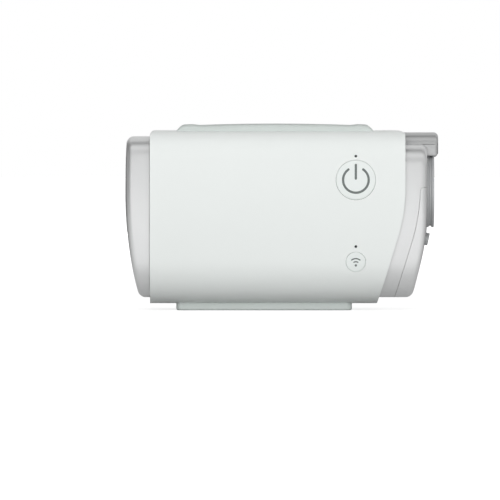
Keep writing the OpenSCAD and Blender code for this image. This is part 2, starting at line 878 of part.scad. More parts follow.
// Flat duct from the muffler to the blower's eye, its end rounded about the eye
module duct_view(inset) {
  translate([muffler_right_x - muffler_wall, blower_z - duct_r + inset])
    square([blower_x - muffler_right_x + muffler_wall, 2 * (duct_r - inset)]);
  translate([blower_x, blower_z]) circle(r = duct_r - inset, $fn = FINE);
}

module inlet_duct() {
  back = cover_front_y - 0.05;
  color(NATURAL) difference() {
    along_y(duct_front_y, back) duct_view(0);
    along_y(duct_front_y + duct_wall, back - duct_wall) duct_view(duct_wall);
    box([muffler_right_x - far, duct_front_y + duct_wall, blower_z - duct_r + duct_wall],
        [muffler_right_x, back - duct_wall, blower_z + duct_r - duct_wall]);
    rod_y([blower_x, blower_z], eye_r + eye_wall + fit, back - duct_wall - 1, back + 1, FINE);
  }
}

// ---------------------------------------------------------------- buttons

// Button cap along Y: its face follows the case, and a lip behind the wall holds it in
module button(p, r) {
  intersection() {
    rod_y(p, r, front_y - 1, button_back_y, FINE);
    case_solid(0);
  }
  intersection() {
    rod_y(p, r + button_lip, front_y - 1, button_back_y, FINE);
    case_solid(case_wall + fit);
  }
  rod_y(p, plunger_r + 0.4, button_back_y - 0.5, plunger_y);
}

module power_button() {
  color(WHITE) button([power_x, power_z], power_button_r);
}

module wireless_button() {
  color(WHITE) button([wireless_x, wireless_z], wireless_button_r);
}

// Tact switch: a square body with a bore for its plunger
module switch_body(p) {
  color(BLACK) difference() {
    box([p.x - switch_w / 2, board_y - switch_h, p.y - switch_w / 2],
        [p.x + switch_w / 2, board_y, p.y + switch_w / 2]);
    rod_y(p, plunger_r + run_gap, board_y - switch_h - 1, board_y - 0.1);
  }
}

module switch_plunger(p) {
  color(DARK) rod_y(p, plunger_r, plunger_y, board_y - 0.1 - button_travel - 0.1);
}

module power_switch() { switch_body([power_x, power_z]); }
module wireless_switch() { switch_body([wireless_x, wireless_z]); }
module power_switch_plunger() { switch_plunger([power_x, power_z]); }
module wireless_switch_plunger() { switch_plunger([wireless_x, wireless_z]); }

// Light pipe: a clear pin from the lamp on the board out through the case, with a collar at its foot
module light_pipe(p) {
  foot_y = board_y - 0.8;
  color(SMOKE) {
    intersection() {
      rod_y(p, light_r, front_y - 1, foot_y);
      case_solid(0.05);
    }
    rod_y(p, light_r + 0.6, foot_y - 0.7, foot_y);
  }
}

module power_light_pipe() { light_pipe([power_x, power_light_z]); }
module wireless_light_pipe() { light_pipe([wireless_x, wireless_light_z]); }

module status_leds() {
  color(GOLD) for (z = [power_light_z, wireless_light_z])
    box([power_x - 0.8, board_y - 0.6, z - 0.5], [power_x + 0.8, board_y, z + 0.5]);
}

module button_board() {
  color(BOARD) difference() {
    box([board_left, board_y, board_low], [board_right, board_y + board_t, board_high]);
    for (p = BOARD_POSTS) rod_y(p, small_screw_r + 0.15, board_y - 1, board_y + board_t + 1);
  }
}

// Flat flex from the foot of the button board, under the blower, to the main board
module button_flex() {
  t = 0.3;
  low = case_bottom + case_wall + 2.6;
  start_y = board_y + board_t;
  turn_y = cover_front_y - 0.6;
  end_y = board_front_y;
  color(COPPER) along_x(board_left - 5, board_left + 4) polygon([
    [start_y, board_low + 5], [start_y + t, board_low + 5], [start_y + t, board_low + 2],
    [turn_y, low + t], [chassis_front_y - 1.4, low + t], [end_y - t, low + 5],
    [end_y - t, main_low + 3], [end_y, main_low + 3], [end_y, low + 5],
    [chassis_front_y - 1.2, low], [turn_y, low], [start_y, board_low + 2]
  ]);
}

// ---------------------------------------------------------------- inner frame and boards

module chassis() {
  low = case_bottom + 6.4;
  high = case_top - 6.4;
  flex = [board_left - 6, board_left + 5];
  color(NATURAL) difference() {
    union() {
      box([chassis_left_x, chassis_front_y, low], [chassis_right_x, chassis_back_y, high]);
      for (p = STANDOFFS) rod_y(p, 2.2, chassis_back_y - 0.5, board_front_y);
    }
    for (p = POSTS) rod_y(p, case_screw_r + 0.2, chassis_front_y - 1, chassis_back_y + 1);
    for (p = STANDOFFS)
      rod_y(p, small_screw_r + run_gap, chassis_front_y - 1, board_front_y + 1);
    rod_y([blower_x, blower_z], 12, chassis_front_y - 1, chassis_back_y + 1, FINE);
    // notch for the flex and windows that lighten the plate
    box([flex[0], chassis_front_y - 1, low - 1], [flex[1], chassis_back_y + 1, low + 4]);
    for (k = [0:3]) let (x = chassis_left_x + 9.4 + k * 5)
      box([x, chassis_front_y - 1, intake_z - 12], [x + 2.4, chassis_back_y + 1, intake_z + 12]);
  }
}

module main_board() {
  color(BOARD) difference() {
    box([main_left, board_front_y, main_low], [main_right, board_back_y, main_high]);
    for (p = STANDOFFS)
      rod_y(p, small_screw_r + 0.15, board_front_y - 1, board_back_y + 1);
  }
}

module processor() {
  color(BLACK) {
    box([blower_x - 28, board_back_y, blower_z - 2],
        [blower_x - 16, board_back_y + 1.4, blower_z + 10]);
    box([blower_x - 10, board_back_y, blower_z + 6],
        [blower_x - 4, board_back_y + 1, blower_z + 14]);
  }
}

module wireless_module() {
  color(STEEL) box([blower_x + 4, board_back_y, main_high - 16],
                   [blower_x + 18, board_back_y + 2.2, main_high - 6]);
}

module capacitors() {
  color(BLACK) for (k = [0:3])
    rod_y([blower_x + 4 + k * 6.4, main_low + 10], 2.4, board_back_y, board_back_y + 3.8);
}

module board_connectors() {
  color(NATURAL) {
    // motor connector, behind the motor
    box([blower_x - 4, chassis_back_y + 0.8, blower_z - 3],
        [blower_x + 4, board_front_y, blower_z + 3]);
    // power connector, facing the end
    box([main_right - 6, board_front_y - connector_h, socket_z - 2.2],
        [main_right, board_front_y, socket_z + 4]);
  }
}

module board_screws() {
  color(STEEL) {
    for (p = STANDOFFS)
      screw_y(p, small_screw_r, small_head_r, small_head_h, chassis_front_y + 0.5, board_back_y);
    for (p = BOARD_POSTS)
      screw_y(p, small_screw_r, small_head_r, small_head_h, board_y - 2.4, board_y + board_t);
  }
}

// Two wires from the socket, round a bend, to the power connector
module power_lead() {
  wire_r = 0.7;
  bend_r = 4;
  x0 = main_right - 3;
  z0 = socket_rear_z;
  reach = board_front_y - connector_h - socket_y;
  color(BLACK) for (dz = [-1, 1]) translate([x0, socket_y, z0 + dz]) {
    translate([bend_r, 0, 0]) rotate([0, 90, 0])
      cylinder(r = wire_r, h = socket_rear_x - x0 - bend_r, $fn = 24);
    translate([bend_r, bend_r, 0]) rotate([0, 0, 180])
      rotate_extrude(angle = 90, $fn = 48) translate([bend_r, 0]) circle(r = wire_r, $fn = 24);
    translate([0, reach, 0]) rotate([90, 0, 0])
      cylinder(r = wire_r, h = reach - bend_r, $fn = 24);
  }
}

module motor_flex() {
  color(COPPER) box([blower_x - 3, base_back_y, blower_z + 1.2],
                    [blower_x + 3, chassis_back_y + 0.8, blower_z + 1.6]);
}

module pressure_sensor() {
  half = sensor_w / 2;
  color(BLACK) box([sensor_x - half, board_front_y - sensor_t, sensor_z - half],
                   [sensor_x + half, board_front_y, sensor_z + half]);
}

module pressure_tube() {
  color(CLEAR) ring_y([sensor_x, sensor_z], 1.4, 0.7, tap_end_y, board_front_y - sensor_t);
}

// ---------------------------------------------------------------- blower

module scroll_view(shift) {
  polygon(scroll_points(shift));
  translate([blower_x, blower_z + scroll_end_r - channel_h - shift])
    square([scroll_x - blower_x, channel_h + 2 * shift]);
}

module blower_base() {
  centre = [blower_x, blower_z];
  tube_out = bearing_r + tube_wall;
  color(DARK) {
    difference() {
      along_y(channel_front_y, base_back_y) scroll_view(blower_wall);
      along_y(channel_front_y - 1, floor_y) {
        scroll_view(0);
        translate([scroll_x - 1, blower_z + scroll_end_r - channel_h]) square([2, channel_h]);
      }
      rod_y(centre, bearing_r, floor_y - 1, base_back_y - 0.6);
    }
    ring_y(centre, motor_well_r + motor_well_wall, motor_well_r, cup_y + 1.2, floor_y + 0.5, FINE);
    ring_y(centre, tube_out, bearing_r, bearing_tube_y, floor_y + 0.5);
    difference() {
      ear_place() rod_y([0, 0], ear_r, channel_front_y, base_back_y);
      along_y(channel_front_y - 1, floor_y) scroll_view(blower_wall / 2);
      ear_place() rod_y([0, 0], small_screw_r + run_gap, channel_front_y - 1, channel_front_y + 9);
    }
  }
}

module blower_cover() {
  centre = [blower_x, blower_z];
  color(DARK) difference() {
    union() {
      along_y(cover_front_y, channel_front_y) scroll_view(blower_wall);
      ear_place() rod_y([0, 0], ear_r, cover_front_y, channel_front_y);
      rod_y(centre, eye_r + eye_wall, cover_front_y - eye_collar, channel_front_y, FINE);
    }
    rod_y(centre, eye_r, cover_front_y - far, channel_front_y + 1, FINE);
    ear_place() rod_y([0, 0], small_screw_r + 0.15, cover_front_y - 1, channel_front_y + 1);
  }
}

module blower_screws() {
  color(STEEL) ear_place() {
    rod_y([0, 0], small_screw_r, cover_front_y - 0.1, channel_front_y + 7);
    rod_y([0, 0], small_head_r, cover_front_y - small_head_h, cover_front_y);
  }
}

// Soft pad that carries the blower on the chassis
module blower_mount() {
  color(BLACK) ring_y([blower_x, blower_z], 17, 12.5, base_back_y, chassis_front_y, FINE);
}

module bearings() {
  centre = [blower_x, blower_z];
  color(STEEL) for (y = [bearing_tube_y + 0.2, base_back_y - 0.6 - bearing_t])
    ring_y(centre, bearing_r, shaft_r + run_gap, y, y + bearing_t, FINE);
}

module tooth_view() {
  neck = 1.4;
  inner = bearing_r + tube_wall + run_gap;
  difference() {
    circle(r = inner + 1.1);
    circle(r = inner);
  }
  for (k = [0:tooth_count - 1]) rotate(k * 360 / tooth_count) {
    translate([inner + 0.6, -neck / 2]) square([stator_r - inner - 1.2, neck]);
    intersection() {
      difference() {
        circle(r = stator_r);
        circle(r = stator_r - 0.9);
      }
      translate([0, -1.9]) square([far, 3.8]);
    }
  }
}

module stator_core() {
  color(STEEL) translate([blower_x, stator_y + stator_t, blower_z]) rotate([90, 0, 0])
    linear_extrude(stator_t) tooth_view();
}

// One winding round each tooth
module stator_coils() {
  inner = bearing_r + tube_wall + run_gap + 1.3;
  long = stator_r - 1.1 - inner;
  color(COPPER) translate([blower_x, stator_y + stator_t / 2, blower_z]) rotate([90, 0, 0])
    for (k = [0:tooth_count - 1]) rotate(k * 360 / tooth_count) translate([inner, 0, 0])
      difference() {
        translate([0, -1.15, -stator_t / 2 - 0.4]) cube([long, 2.3, stator_t + 0.8]);
        translate([-1, -0.75, -stator_t / 2 - 0.05]) cube([long + 2, 1.5, stator_t + 0.1]);
      }
}

// Backward-swept blade: an arc of a circle between the hub and the rim
module blade_view() {
  sweep_r = 12;
  from = [0, 10.5];
  intersection() {
    difference() {
      translate(from) circle(r = sweep_r + blade_t / 2, $fn = FINE);
      translate(from) circle(r = sweep_r - blade_t / 2, $fn = FINE);
    }
    difference() {
      circle(r = impeller_r - 0.2, $fn = FINE);
      circle(r = 6.5);
    }
    translate([0, -far]) square([far, 2 * far]);
  }
}

module impeller() {
  hub_r = 3.4;
  color(WHITE) difference() {
    translate([blower_x, disc_y + disc_t, blower_z]) rotate([90, 0, 0]) {
      // disc with a hub that turns the air outward
      rotate_extrude($fn = FINE) polygon([
        [0, -0.4], [hub_r, -0.4], [hub_r, 0], [impeller_r, 0], [impeller_r, disc_t * 0.6],
        [7, disc_t + 0.4], [4.6, disc_t + 2], [hub_r - 0.4, disc_t + 5.4], [0, disc_t + 5.4]
      ]);
      for (k = [0:blade_count - 1]) rotate(k * 360 / blade_count)
        translate([0, 0, disc_t * 0.5]) linear_extrude(disc_y + disc_t / 2 - shroud_y - 0.1)
          blade_view();
      // front shroud
      translate([0, 0, disc_y + disc_t - shroud_y - shroud_t])
        rotate_extrude($fn = FINE) translate([eye_r, 0]) square([impeller_r - eye_r, shroud_t]);
    }
    rod_y([blower_x, blower_z], shaft_r, shroud_y - 1, disc_y + disc_t + 1);
  }
}

module motor_shaft() {
  color(STEEL) rod_y([blower_x, blower_z], shaft_r, shroud_y + 1.2, base_back_y - 0.8, FINE);
}

module rotor_cup() {
  centre = [blower_x, blower_z];
  color(STEEL) difference() {
    rod_y(centre, cup_r, cup_y, cup_y + cup_wall + cup_depth, FINE);
    rod_y(centre, cup_r - cup_wall, cup_y + cup_wall, cup_y + far, FINE);
    rod_y(centre, shaft_r, cup_y - 1, cup_y + far, FINE);
  }
}

module magnet_ring() {
  color(BLACK) ring_y([blower_x, blower_z], cup_r - cup_wall, cup_r - cup_wall - magnet_t,
                      cup_y + cup_wall + 0.3, cup_y + cup_wall + cup_depth - 0.3, FINE);
}

// Soft boot from the blower's square mouth to the round outlet tube
module outlet_duct() {
  mid_z = blower_z + scroll_end_r - channel_h / 2;
  half_z = channel_h / 2 + blower_wall + boot_gap;
  y0 = cover_front_y - boot_gap;
  y1 = base_back_y + boot_gap;
  round_r = tube_r + boot_gap;
  module mouth(grow, x0, x1)
    box([x0, y0 - grow, mid_z - half_z - grow], [x1, y1 + grow, mid_z + half_z + grow]);
  module neck(grow, x0, x1)
    translate([x0, outlet_y, outlet_z]) rotate([0, 90, 0])
      cylinder(r = round_r + grow, h = x1 - x0, $fn = FINE);
  color(FOAM) difference() {
    union() {
      mouth(boot_wall, boot_in_x, scroll_x + 0.5);
      hull() {
        mouth(boot_wall, scroll_x, scroll_x + 0.5);
        neck(boot_wall, tube_in_x - 0.6, tube_in_x - 0.1, $fn = 32);
      }
      neck(boot_wall, tube_in_x - 0.5, boot_out_x);
      rod_y([sensor_x, sensor_z], 1, tap_base_y - 0.9, tap_end_y);
    }
    mouth(0, boot_in_x - 1, scroll_x + 0.1);
    hull() {
      mouth(-1, scroll_x, scroll_x + 0.2);
      neck(-1, tube_in_x - 0.3, tube_in_x - 0.1);
    }
    neck(0, tube_in_x - 0.1, boot_out_x + 1);
  }
}

// ---------------------------------------------------------------- assembly

front_cover();
rear_cover();
right_end_cap();
port_panel();
outlet_hood();
outlet_port();
outlet_seal();
power_socket();
power_contact();
intake_bulkhead();
filter_cover();
air_filter();
power_button();
wireless_button();
power_light_pipe();
wireless_light_pipe();
power_switch();
wireless_switch();
power_switch_plunger();
wireless_switch_plunger();
status_leds();
button_board();
button_flex();
top_grip_pad();
bottom_grip_pad();
rubber_feet();
case_screws();
chassis();
main_board();
processor();
wireless_module();
capacitors();
board_connectors();
board_screws();
power_lead();
motor_flex();
pressure_sensor();
pressure_tube();
muffler_box();
muffler_foam();
inlet_duct();
blower_cover();
blower_base();
blower_screws();
blower_mount();
bearings();
stator_core();
stator_coils();
impeller();
motor_shaft();
rotor_cup();
magnet_ring();
outlet_duct();
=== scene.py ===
"""A travel breathing-pressure unit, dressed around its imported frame.

Shapes are worked out in millimetres on numpy grids and put into meshes in metres. The button face looks along -Y,
the air outlet is at +X and the filter end at -X. Every skin is a surface of two parameters that a Solidify gives its
wall and a Bevel its soft edges.
"""

import json
import math

import bmesh
import bpy
import numpy as np
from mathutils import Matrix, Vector

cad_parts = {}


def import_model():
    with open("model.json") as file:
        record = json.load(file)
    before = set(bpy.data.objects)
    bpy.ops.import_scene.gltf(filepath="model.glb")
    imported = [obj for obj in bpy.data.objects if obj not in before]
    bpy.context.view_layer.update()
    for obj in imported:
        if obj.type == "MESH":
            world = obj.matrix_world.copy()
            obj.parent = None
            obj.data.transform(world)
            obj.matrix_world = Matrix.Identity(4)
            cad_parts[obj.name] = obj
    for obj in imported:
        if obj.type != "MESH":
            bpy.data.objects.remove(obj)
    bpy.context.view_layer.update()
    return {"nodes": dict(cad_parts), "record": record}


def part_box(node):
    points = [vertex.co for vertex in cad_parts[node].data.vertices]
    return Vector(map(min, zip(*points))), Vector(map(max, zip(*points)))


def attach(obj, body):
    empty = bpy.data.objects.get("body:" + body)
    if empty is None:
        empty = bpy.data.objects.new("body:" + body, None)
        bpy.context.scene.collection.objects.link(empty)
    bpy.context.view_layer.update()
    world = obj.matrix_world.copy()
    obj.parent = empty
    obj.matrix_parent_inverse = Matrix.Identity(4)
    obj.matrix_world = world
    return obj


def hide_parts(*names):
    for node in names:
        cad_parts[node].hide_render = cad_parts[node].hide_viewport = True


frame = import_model()

MM = 0.001


def corners(node):
    """Lowest and highest corner of a CAD node, in millimetres."""
    low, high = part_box(node)
    return np.array(low) / MM, np.array(high) / MM


def front_middle(node):
    """Middle of a CAD node as the front shows it, in X and Z."""
    low, high = corners(node)
    return (low + high)[[0, 2]] / 2


# ------------------------ sizes

front_low, front_high = corners("front_cover")
rear_low, rear_high = corners("rear_cover")
door_low, door_high = corners("filter_cover")
hood_low, hood_high = corners("outlet_hood")
port_low, port_high = corners("outlet_port")

FRONT_Y = front_low[1]
BACK_Y = rear_high[1]
CASE_LOW, CASE_TOP = rear_low[2], rear_high[2]
EDGE_SHORT = 0.6                # how far the white case's right edge stops short of the solid's
CASE_LEFT, CASE_RIGHT = front_low[0], front_high[0] - EDGE_SHORT
SEAM_Y = front_high[1]
SEAM = 0.25                     # seam between the two halves of the case
FINE_SEAM = 0.15                # seam round the port panel
WALL = 1.8                      # wall of the white case
CROWN_R = 260.0                 # crown across the front face
CROWN_SHARE = 0.52              # how far up the front its crown stands out most
CROWN_Z = CASE_LOW + CROWN_SHARE * (CASE_TOP - CASE_LOW)
TOP_R, BOTTOM_R, BACK_R = 11.0, 20.0, 7.0
STEP_IN = 2.6                   # step from the white case down to the grey ends
BEND_Z, BEND_R, LEAN = CASE_TOP - 24, 75.0, 17.0      # right edge of the case
END_X = corners("right_end_cap")[1][0]
END_BEND_Z, END_BEND_R, END_LEAN = CASE_TOP - 34.7, 90.0, 13.5      # face of the outlet end
END_ROLL = 2.6                  # rounding from the sides of an end to its face
LEFT_X = door_low[0]
DOOR_BOW_Z = CROWN_Z + 9.5
DOOR_BOW_R, DOOR_BOW_HIGH_R = 180.0, 600.0      # bow of the filter cover's face, flatter above its fullest place
CAP_TOP = CASE_TOP - 5.8
PANEL_IN = 6.4                  # from the case's edge to the port panel's seam
PANEL_TOP = corners("port_panel")[1][2] + SEAM
PANEL_CORNER = 2.0              # rounding of the panel's top corner
GRIP, FLANGE_WALL = 5.0, 2.2    # how deep the outlet end's flange reaches into the case, and its wall
OUTLET = np.array([(port_low[1] + port_high[1]) / 2, (port_low[2] + port_high[2]) / 2])
FLANGE_R = (port_high[2] - port_low[2]) / 2
POWER_XZ, WIRELESS_XZ = front_middle("power_button"), front_middle("wireless_button")
POWER_R, WIRELESS_R, BUTTON_GAP = 8.62, 4.32, 0.09
DENSE = 0.05                    # spacing of the points of an exact outline


# ------------------------ outlines

def swept(a0, a1, n):
    """Angles from a0 to a1, given in degrees."""
    return np.radians(np.linspace(a0, a1, n))


def full_turn(n):
    """Angles of n even steps once round."""
    return np.linspace(0, 2 * math.pi, n, endpoint=False)


def xyz(x, y, z):
    """Points from three coordinates, each spread over the others."""
    return np.stack(np.broadcast_arrays(x, y, z), -1)


def arc_run(c, r, a0, a1):
    """Points c + r (cos a, sin a), a from a0 to a1 degrees, and unit normals that point at c."""
    n = int(abs(math.radians(a1 - a0)) * r / DENSE) + 2
    a = swept(a0, a1, n)
    ray = np.stack([np.cos(a), np.sin(a)], 1)
    return np.hstack([np.asarray(c) + r * ray, -ray])


def line_run(p, q, inward):
    """Points on the line from p to q, all with the same inward normal."""
    p, q = np.asarray(p, float), np.asarray(q, float)
    n = int(np.linalg.norm(q - p) / DENSE) + 2
    t = np.linspace(0, 1, n)[:, None]
    return np.hstack([p + (q - p) * t, np.tile(np.asarray(inward, float), (n, 1))])


def path(*runs):
    """Runs joined end to end: the length along them, and at each length a point and its normal."""
    data = np.vstack(runs)
    step = np.hypot(*np.diff(data[:, :2], axis=0).T)
    keep = np.concatenate([[True], step > 1e-6])
    return np.concatenate([[0], np.cumsum(step)])[keep], data[keep]


def along(line, s):
    """Point and unit normal of a path at each length s."""
    at = np.stack([np.interp(s, line[0], line[1][:, k]) for k in range(4)], 1)
    return at[:, :2], at[:, 2:] / np.linalg.norm(at[:, 2:], axis=1, keepdims=True)


def crowned(step, top):
    """The case's side view moved in by step, with its top at top: the centres and angles of its arcs in Y and Z.
    Each front fillet is tangent to the crown, so its centre lies crown_r - r from the crown's centre."""
    crown = np.array([FRONT_Y + CROWN_R, CROWN_Z])
    r_top, r_low, r_back, crown_r = TOP_R - step, BOTTOM_R - step, BACK_R - step, CROWN_R - step
    low, back = CASE_LOW + step, BACK_Y - step
    top_c = np.array([crown[0] - math.sqrt((crown_r - r_top) ** 2 - (top - r_top - crown[1]) ** 2), top - r_top])
    low_c = np.array([crown[0] - math.sqrt((crown_r - r_low) ** 2 - (low + r_low - crown[1]) ** 2), low + r_low])
    a_top = 180 - math.degrees(math.asin((top_c[1] - crown[1]) / (crown_r - r_top)))
    a_low = 180 + math.degrees(math.asin((crown[1] - low_c[1]) / (crown_r - r_low)))
    return dict(crown=crown, crown_r=crown_r, top_c=top_c, low_c=low_c, a_top=a_top, a_low=a_low, r_top=r_top,
                r_low=r_low, r_back=r_back, low=low, top=top, back=back)


def front_half(o, y_end):
    """From y_end over the top, down the crowned front and back under to y_end."""
    return path(
        line_run((y_end, o["top"]), (o["top_c"][0], o["top"]), (0, -1)),
        arc_run(o["top_c"], o["r_top"], 90, o["a_top"]),
        arc_run(o["crown"], o["crown_r"], o["a_top"], o["a_low"]),
        arc_run(o["low_c"], o["r_low"], o["a_low"], 270),
        line_run((o["low_c"][0], o["low"]), (y_end, o["low"]), (0, 1)))


def rear_half(o, y_end):
    """From y_end under the case, up the back and over the top to y_end."""
    low_c = (o["back"] - o["r_back"], o["low"] + o["r_back"])
    top_c = (o["back"] - o["r_back"], o["top"] - o["r_back"])
    return path(
        line_run((y_end, o["low"]), (low_c[0], o["low"]), (0, 1)),
        arc_run(low_c, o["r_back"], 270, 360),
        line_run((o["back"], low_c[1]), (o["back"], top_c[1]), (-1, 0)),
        arc_run(top_c, o["r_back"], 0, 90),
        line_run((top_c[0], o["top"]), (y_end, o["top"]), (0, -1)))


def leaning_x(z, x, bend_z, bend_r, lean):
    """X of an edge that is upright above bend_z, turns through an arc of bend_r and then leans in."""
    a = math.radians(lean)
    turn_z = bend_z - bend_r * math.sin(a)
    turn_x = x - bend_r * (1 - math.cos(a))
    on_arc = x - bend_r + np.sqrt(np.maximum(bend_r ** 2 - np.minimum(bend_z - z, bend_r) ** 2, 0))
    return np.where(z >= bend_z, x, np.where(z >= turn_z, on_arc, turn_x - (turn_z - z) * math.tan(a)))


def case_edge(z, out=0.0):
    """X of the white case's right edge at height z, moved outward by out."""
    return leaning_x(z, CASE_RIGHT + out, BEND_Z, BEND_R + out, LEAN)


def end_edge(z):
    """X of the outlet end's face at height z."""
    return leaning_x(z, END_X, END_BEND_Z, END_BEND_R, END_LEAN)


def door_edge(z):
    """X of the filter cover's bowed face at height z."""
    r = np.where(z > DOOR_BOW_Z, DOOR_BOW_HIGH_R, DOOR_BOW_R)
    return LEFT_X + r - np.sqrt(r ** 2 - (z - DOOR_BOW_Z) ** 2)


def front_face_y(z, o):
    """Y of the crowned front at height z, its two fillets included."""
    top_z = o["crown"][1] + o["crown_r"] * math.sin(math.radians(180 - o["a_top"]))
    low_z = o["crown"][1] - o["crown_r"] * math.sin(math.radians(o["a_low"] - 180))
    crown = o["crown"][0] - np.sqrt(o["crown_r"] ** 2 - (z - o["crown"][1]) ** 2)
    top = o["top_c"][0] - np.sqrt(np.maximum(o["r_top"] ** 2 - (z - o["top_c"][1]) ** 2, 0))
    low = o["low_c"][0] - np.sqrt(np.maximum(o["r_low"] ** 2 - (z - o["low_c"][1]) ** 2, 0))
    return np.where(z > top_z, top, np.where(z < low_z, low, crown))


# ------------------------ meshes

class Skin:
    """Corners and faces gathered from grids. Equal corners are welded when the mesh is made."""

    def __init__(self):
        self.points, self.quads, self.flats, self.count = [], [], [], 0

    def grid(self, p, keep=None):
        """Quads of an n by m grid of points, or of its kept cells."""
        n, m = p.shape[:2]
        index = self.count + np.arange(n * m).reshape(n, m)
        quads = np.stack([index[:-1, :-1], index[1:, :-1], index[1:, 1:], index[:-1, 1:]], -1)
        self.quads.append(quads.reshape(-1, 4) if keep is None else quads[keep])
        self.points.append(p.reshape(-1, 3))
        self.count += n * m
        return self

    def flat(self, p):
        """One flat face round a loop of points."""
        self.flats.append(list(range(self.count, self.count + len(p))))
        self.points.append(p)
        self.count += len(p)

    def ring(self, p):
        """Quads of a grid whose second direction closes on itself."""
        return self.grid(np.concatenate([p, p[:, :1]], 1))

    def arrays(self):
        return np.vstack(self.points) * MM, np.vstack(self.quads).tolist() + self.flats


def placed(name, data):
    """A new object in the scene."""
    obj = bpy.data.objects.new(name, data)
    bpy.context.scene.collection.objects.link(obj)
    return obj


def piece(name, skin, body, slot, replaces=(), wall=0.0, bevel=0.0, angle=35, look=None):
    """A mesh from a skin, welded and turned outward, with its wall and soft edges, riding on its body. It has the
    finish of its slot, or another look."""
    points, faces = skin.arrays()
    mesh = bpy.data.meshes.new(name)
    mesh.from_pydata(points.tolist(), [], faces)
    bm = bmesh.new()
    bm.from_mesh(mesh)
    bmesh.ops.remove_doubles(bm, verts=bm.verts, dist=2e-6)
    bmesh.ops.dissolve_degenerate(bm, edges=bm.edges, dist=1e-6)
    bmesh.ops.delete(bm, geom=[v for v in bm.verts if not v.link_faces], context="VERTS")
    bmesh.ops.recalc_face_normals(bm, faces=bm.faces)
    used = np.array([v.co for v in bm.verts])
    middle = Vector((used.min(0) + used.max(0)) / 2)
    side = sum(f.normal.dot(f.calc_center_median() - middle) * f.calc_area() for f in bm.faces)
    if side < 0:
        bmesh.ops.reverse_faces(bm, faces=bm.faces)
    bm.to_mesh(mesh)
    bm.free()
    mesh.polygons.foreach_set("use_smooth", np.ones(len(mesh.polygons), bool))
    mesh.materials.append(FINISH[look or slot])
    obj = placed(name, mesh)
    if wall:
        shell = obj.modifiers.new("wall", "SOLIDIFY")
        shell.thickness, shell.offset = wall * MM, -1
    if bevel:
        edge = obj.modifiers.new("soft edges", "BEVEL")
        edge.width, edge.segments, edge.limit_method = bevel * MM, 3, "ANGLE"
        edge.angle_limit, edge.harden_normals = math.radians(angle), True
    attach(obj, body)
    if replaces:
        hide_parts(*replaces)
    return obj


def spaced(stops, step):
    """Values through every stop, evenly spaced between stops at about step."""
    runs = [np.linspace(a, b, max(int(round(abs(b - a) / step)), 1) + 1)[:-1] for a, b in zip(stops, stops[1:])]
    return np.concatenate(runs + [[stops[-1]]])


def block_about(flat, centre, half):
    """Index block of the grid lines that lie within half of centre, in the grid's plane coordinates."""
    near = np.abs(flat - centre).sum(-1)
    i, j = np.unravel_index(near.argmin(), near.shape)
    rows = np.nonzero(np.abs(flat[:, j, 1] - centre[1]) <= half[1])[0]
    cols = np.nonzero(np.abs(flat[i, :, 0] - centre[0]) <= half[0])[0]
    return rows.min(), rows.max(), cols.min(), cols.max()


def punch(skin, flat, keep, block, centre, r, lift, run=(0, 0), rings=4):
    """Leaves the cells of a block out, and fills from its edge to the rim of a round-ended hole. A rim point is the
    nearest one to its edge point: q + r (p - q) / |p - q|, q the nearest point of the hole's middle line."""
    i0, i1, j0, j1 = block
    keep[i0:i1, j0:j1] = False
    rows = np.concatenate([np.full(j1 - j0, i0), np.arange(i0, i1), np.full(j1 - j0, i1), np.arange(i1, i0, -1)])
    cols = np.concatenate([np.arange(j0, j1), np.full(i1 - i0, j1), np.arange(j1, j0, -1), np.full(i1 - i0, j0)])
    edge, run = flat[rows, cols], np.asarray(run, float)
    q = centre + np.clip(edge - centre, -run, run)
    away = edge - q
    rim = q + r * away / np.linalg.norm(away, axis=1, keepdims=True)
    t = np.linspace(0, 1, rings + 1)[:, None, None]
    skin.ring(lift(edge + (rim - edge) * t))


# ------------------------ materials

def link(tree, a, b):
    tree.links.new(a, b)


def added(tree, kind):
    """A new node of a tree, by what its type is called after ShaderNode."""
    return tree.nodes.new("ShaderNode" + kind)


def math_node(tree, op, a, b):
    """Result of a Math node on two numbers or sockets."""
    node = added(tree, "Math")
    node.operation = op
    for value, into in zip((a, b), node.inputs):
        if isinstance(value, (int, float)):
            into.default_value = value
        else:
            link(tree, value, into)
    return node.outputs[0]


def noise(tree, vector, scale, detail=3.0, rough=0.5):
    """A noise, 0 to 1, with detail layers of which each weighs rough times the one before."""
    node = added(tree, "TexNoise")
    node.inputs["Scale"].default_value = scale
    node.inputs["Detail"].default_value = detail
    node.inputs["Roughness"].default_value = rough
    link(tree, vector, node.inputs["Vector"])
    return node.outputs["Fac"]


def mapped(tree, value, a, b, low=0.0, high=1.0):
    """A value taken from the range a to b into the range low to high, and held at its ends."""
    node = added(tree, "MapRange")
    for name, number in (("From Min", a), ("From Max", b), ("To Min", low), ("To Max", high)):
        node.inputs[name].default_value = number
    link(tree, value, node.inputs["Value"])
    return node.outputs["Result"]


def number_group(name, entry, value, *results):
    """Starts a node group with one number in and the results out: the group, that number, where the results go and
    the Object coordinates."""
    group = bpy.data.node_groups.new(name, "ShaderNodeTree")
    group.interface.new_socket(name=entry, in_out="INPUT", socket_type="NodeSocketFloat").default_value = value
    for result in results:
        group.interface.new_socket(name=result, in_out="OUTPUT", socket_type="NodeSocketFloat")
    into, out = group.nodes.new("NodeGroupInput"), group.nodes.new("NodeGroupOutput")
    return group, into.outputs[entry], out.inputs, added(group, "TexCoord").outputs["Object"]


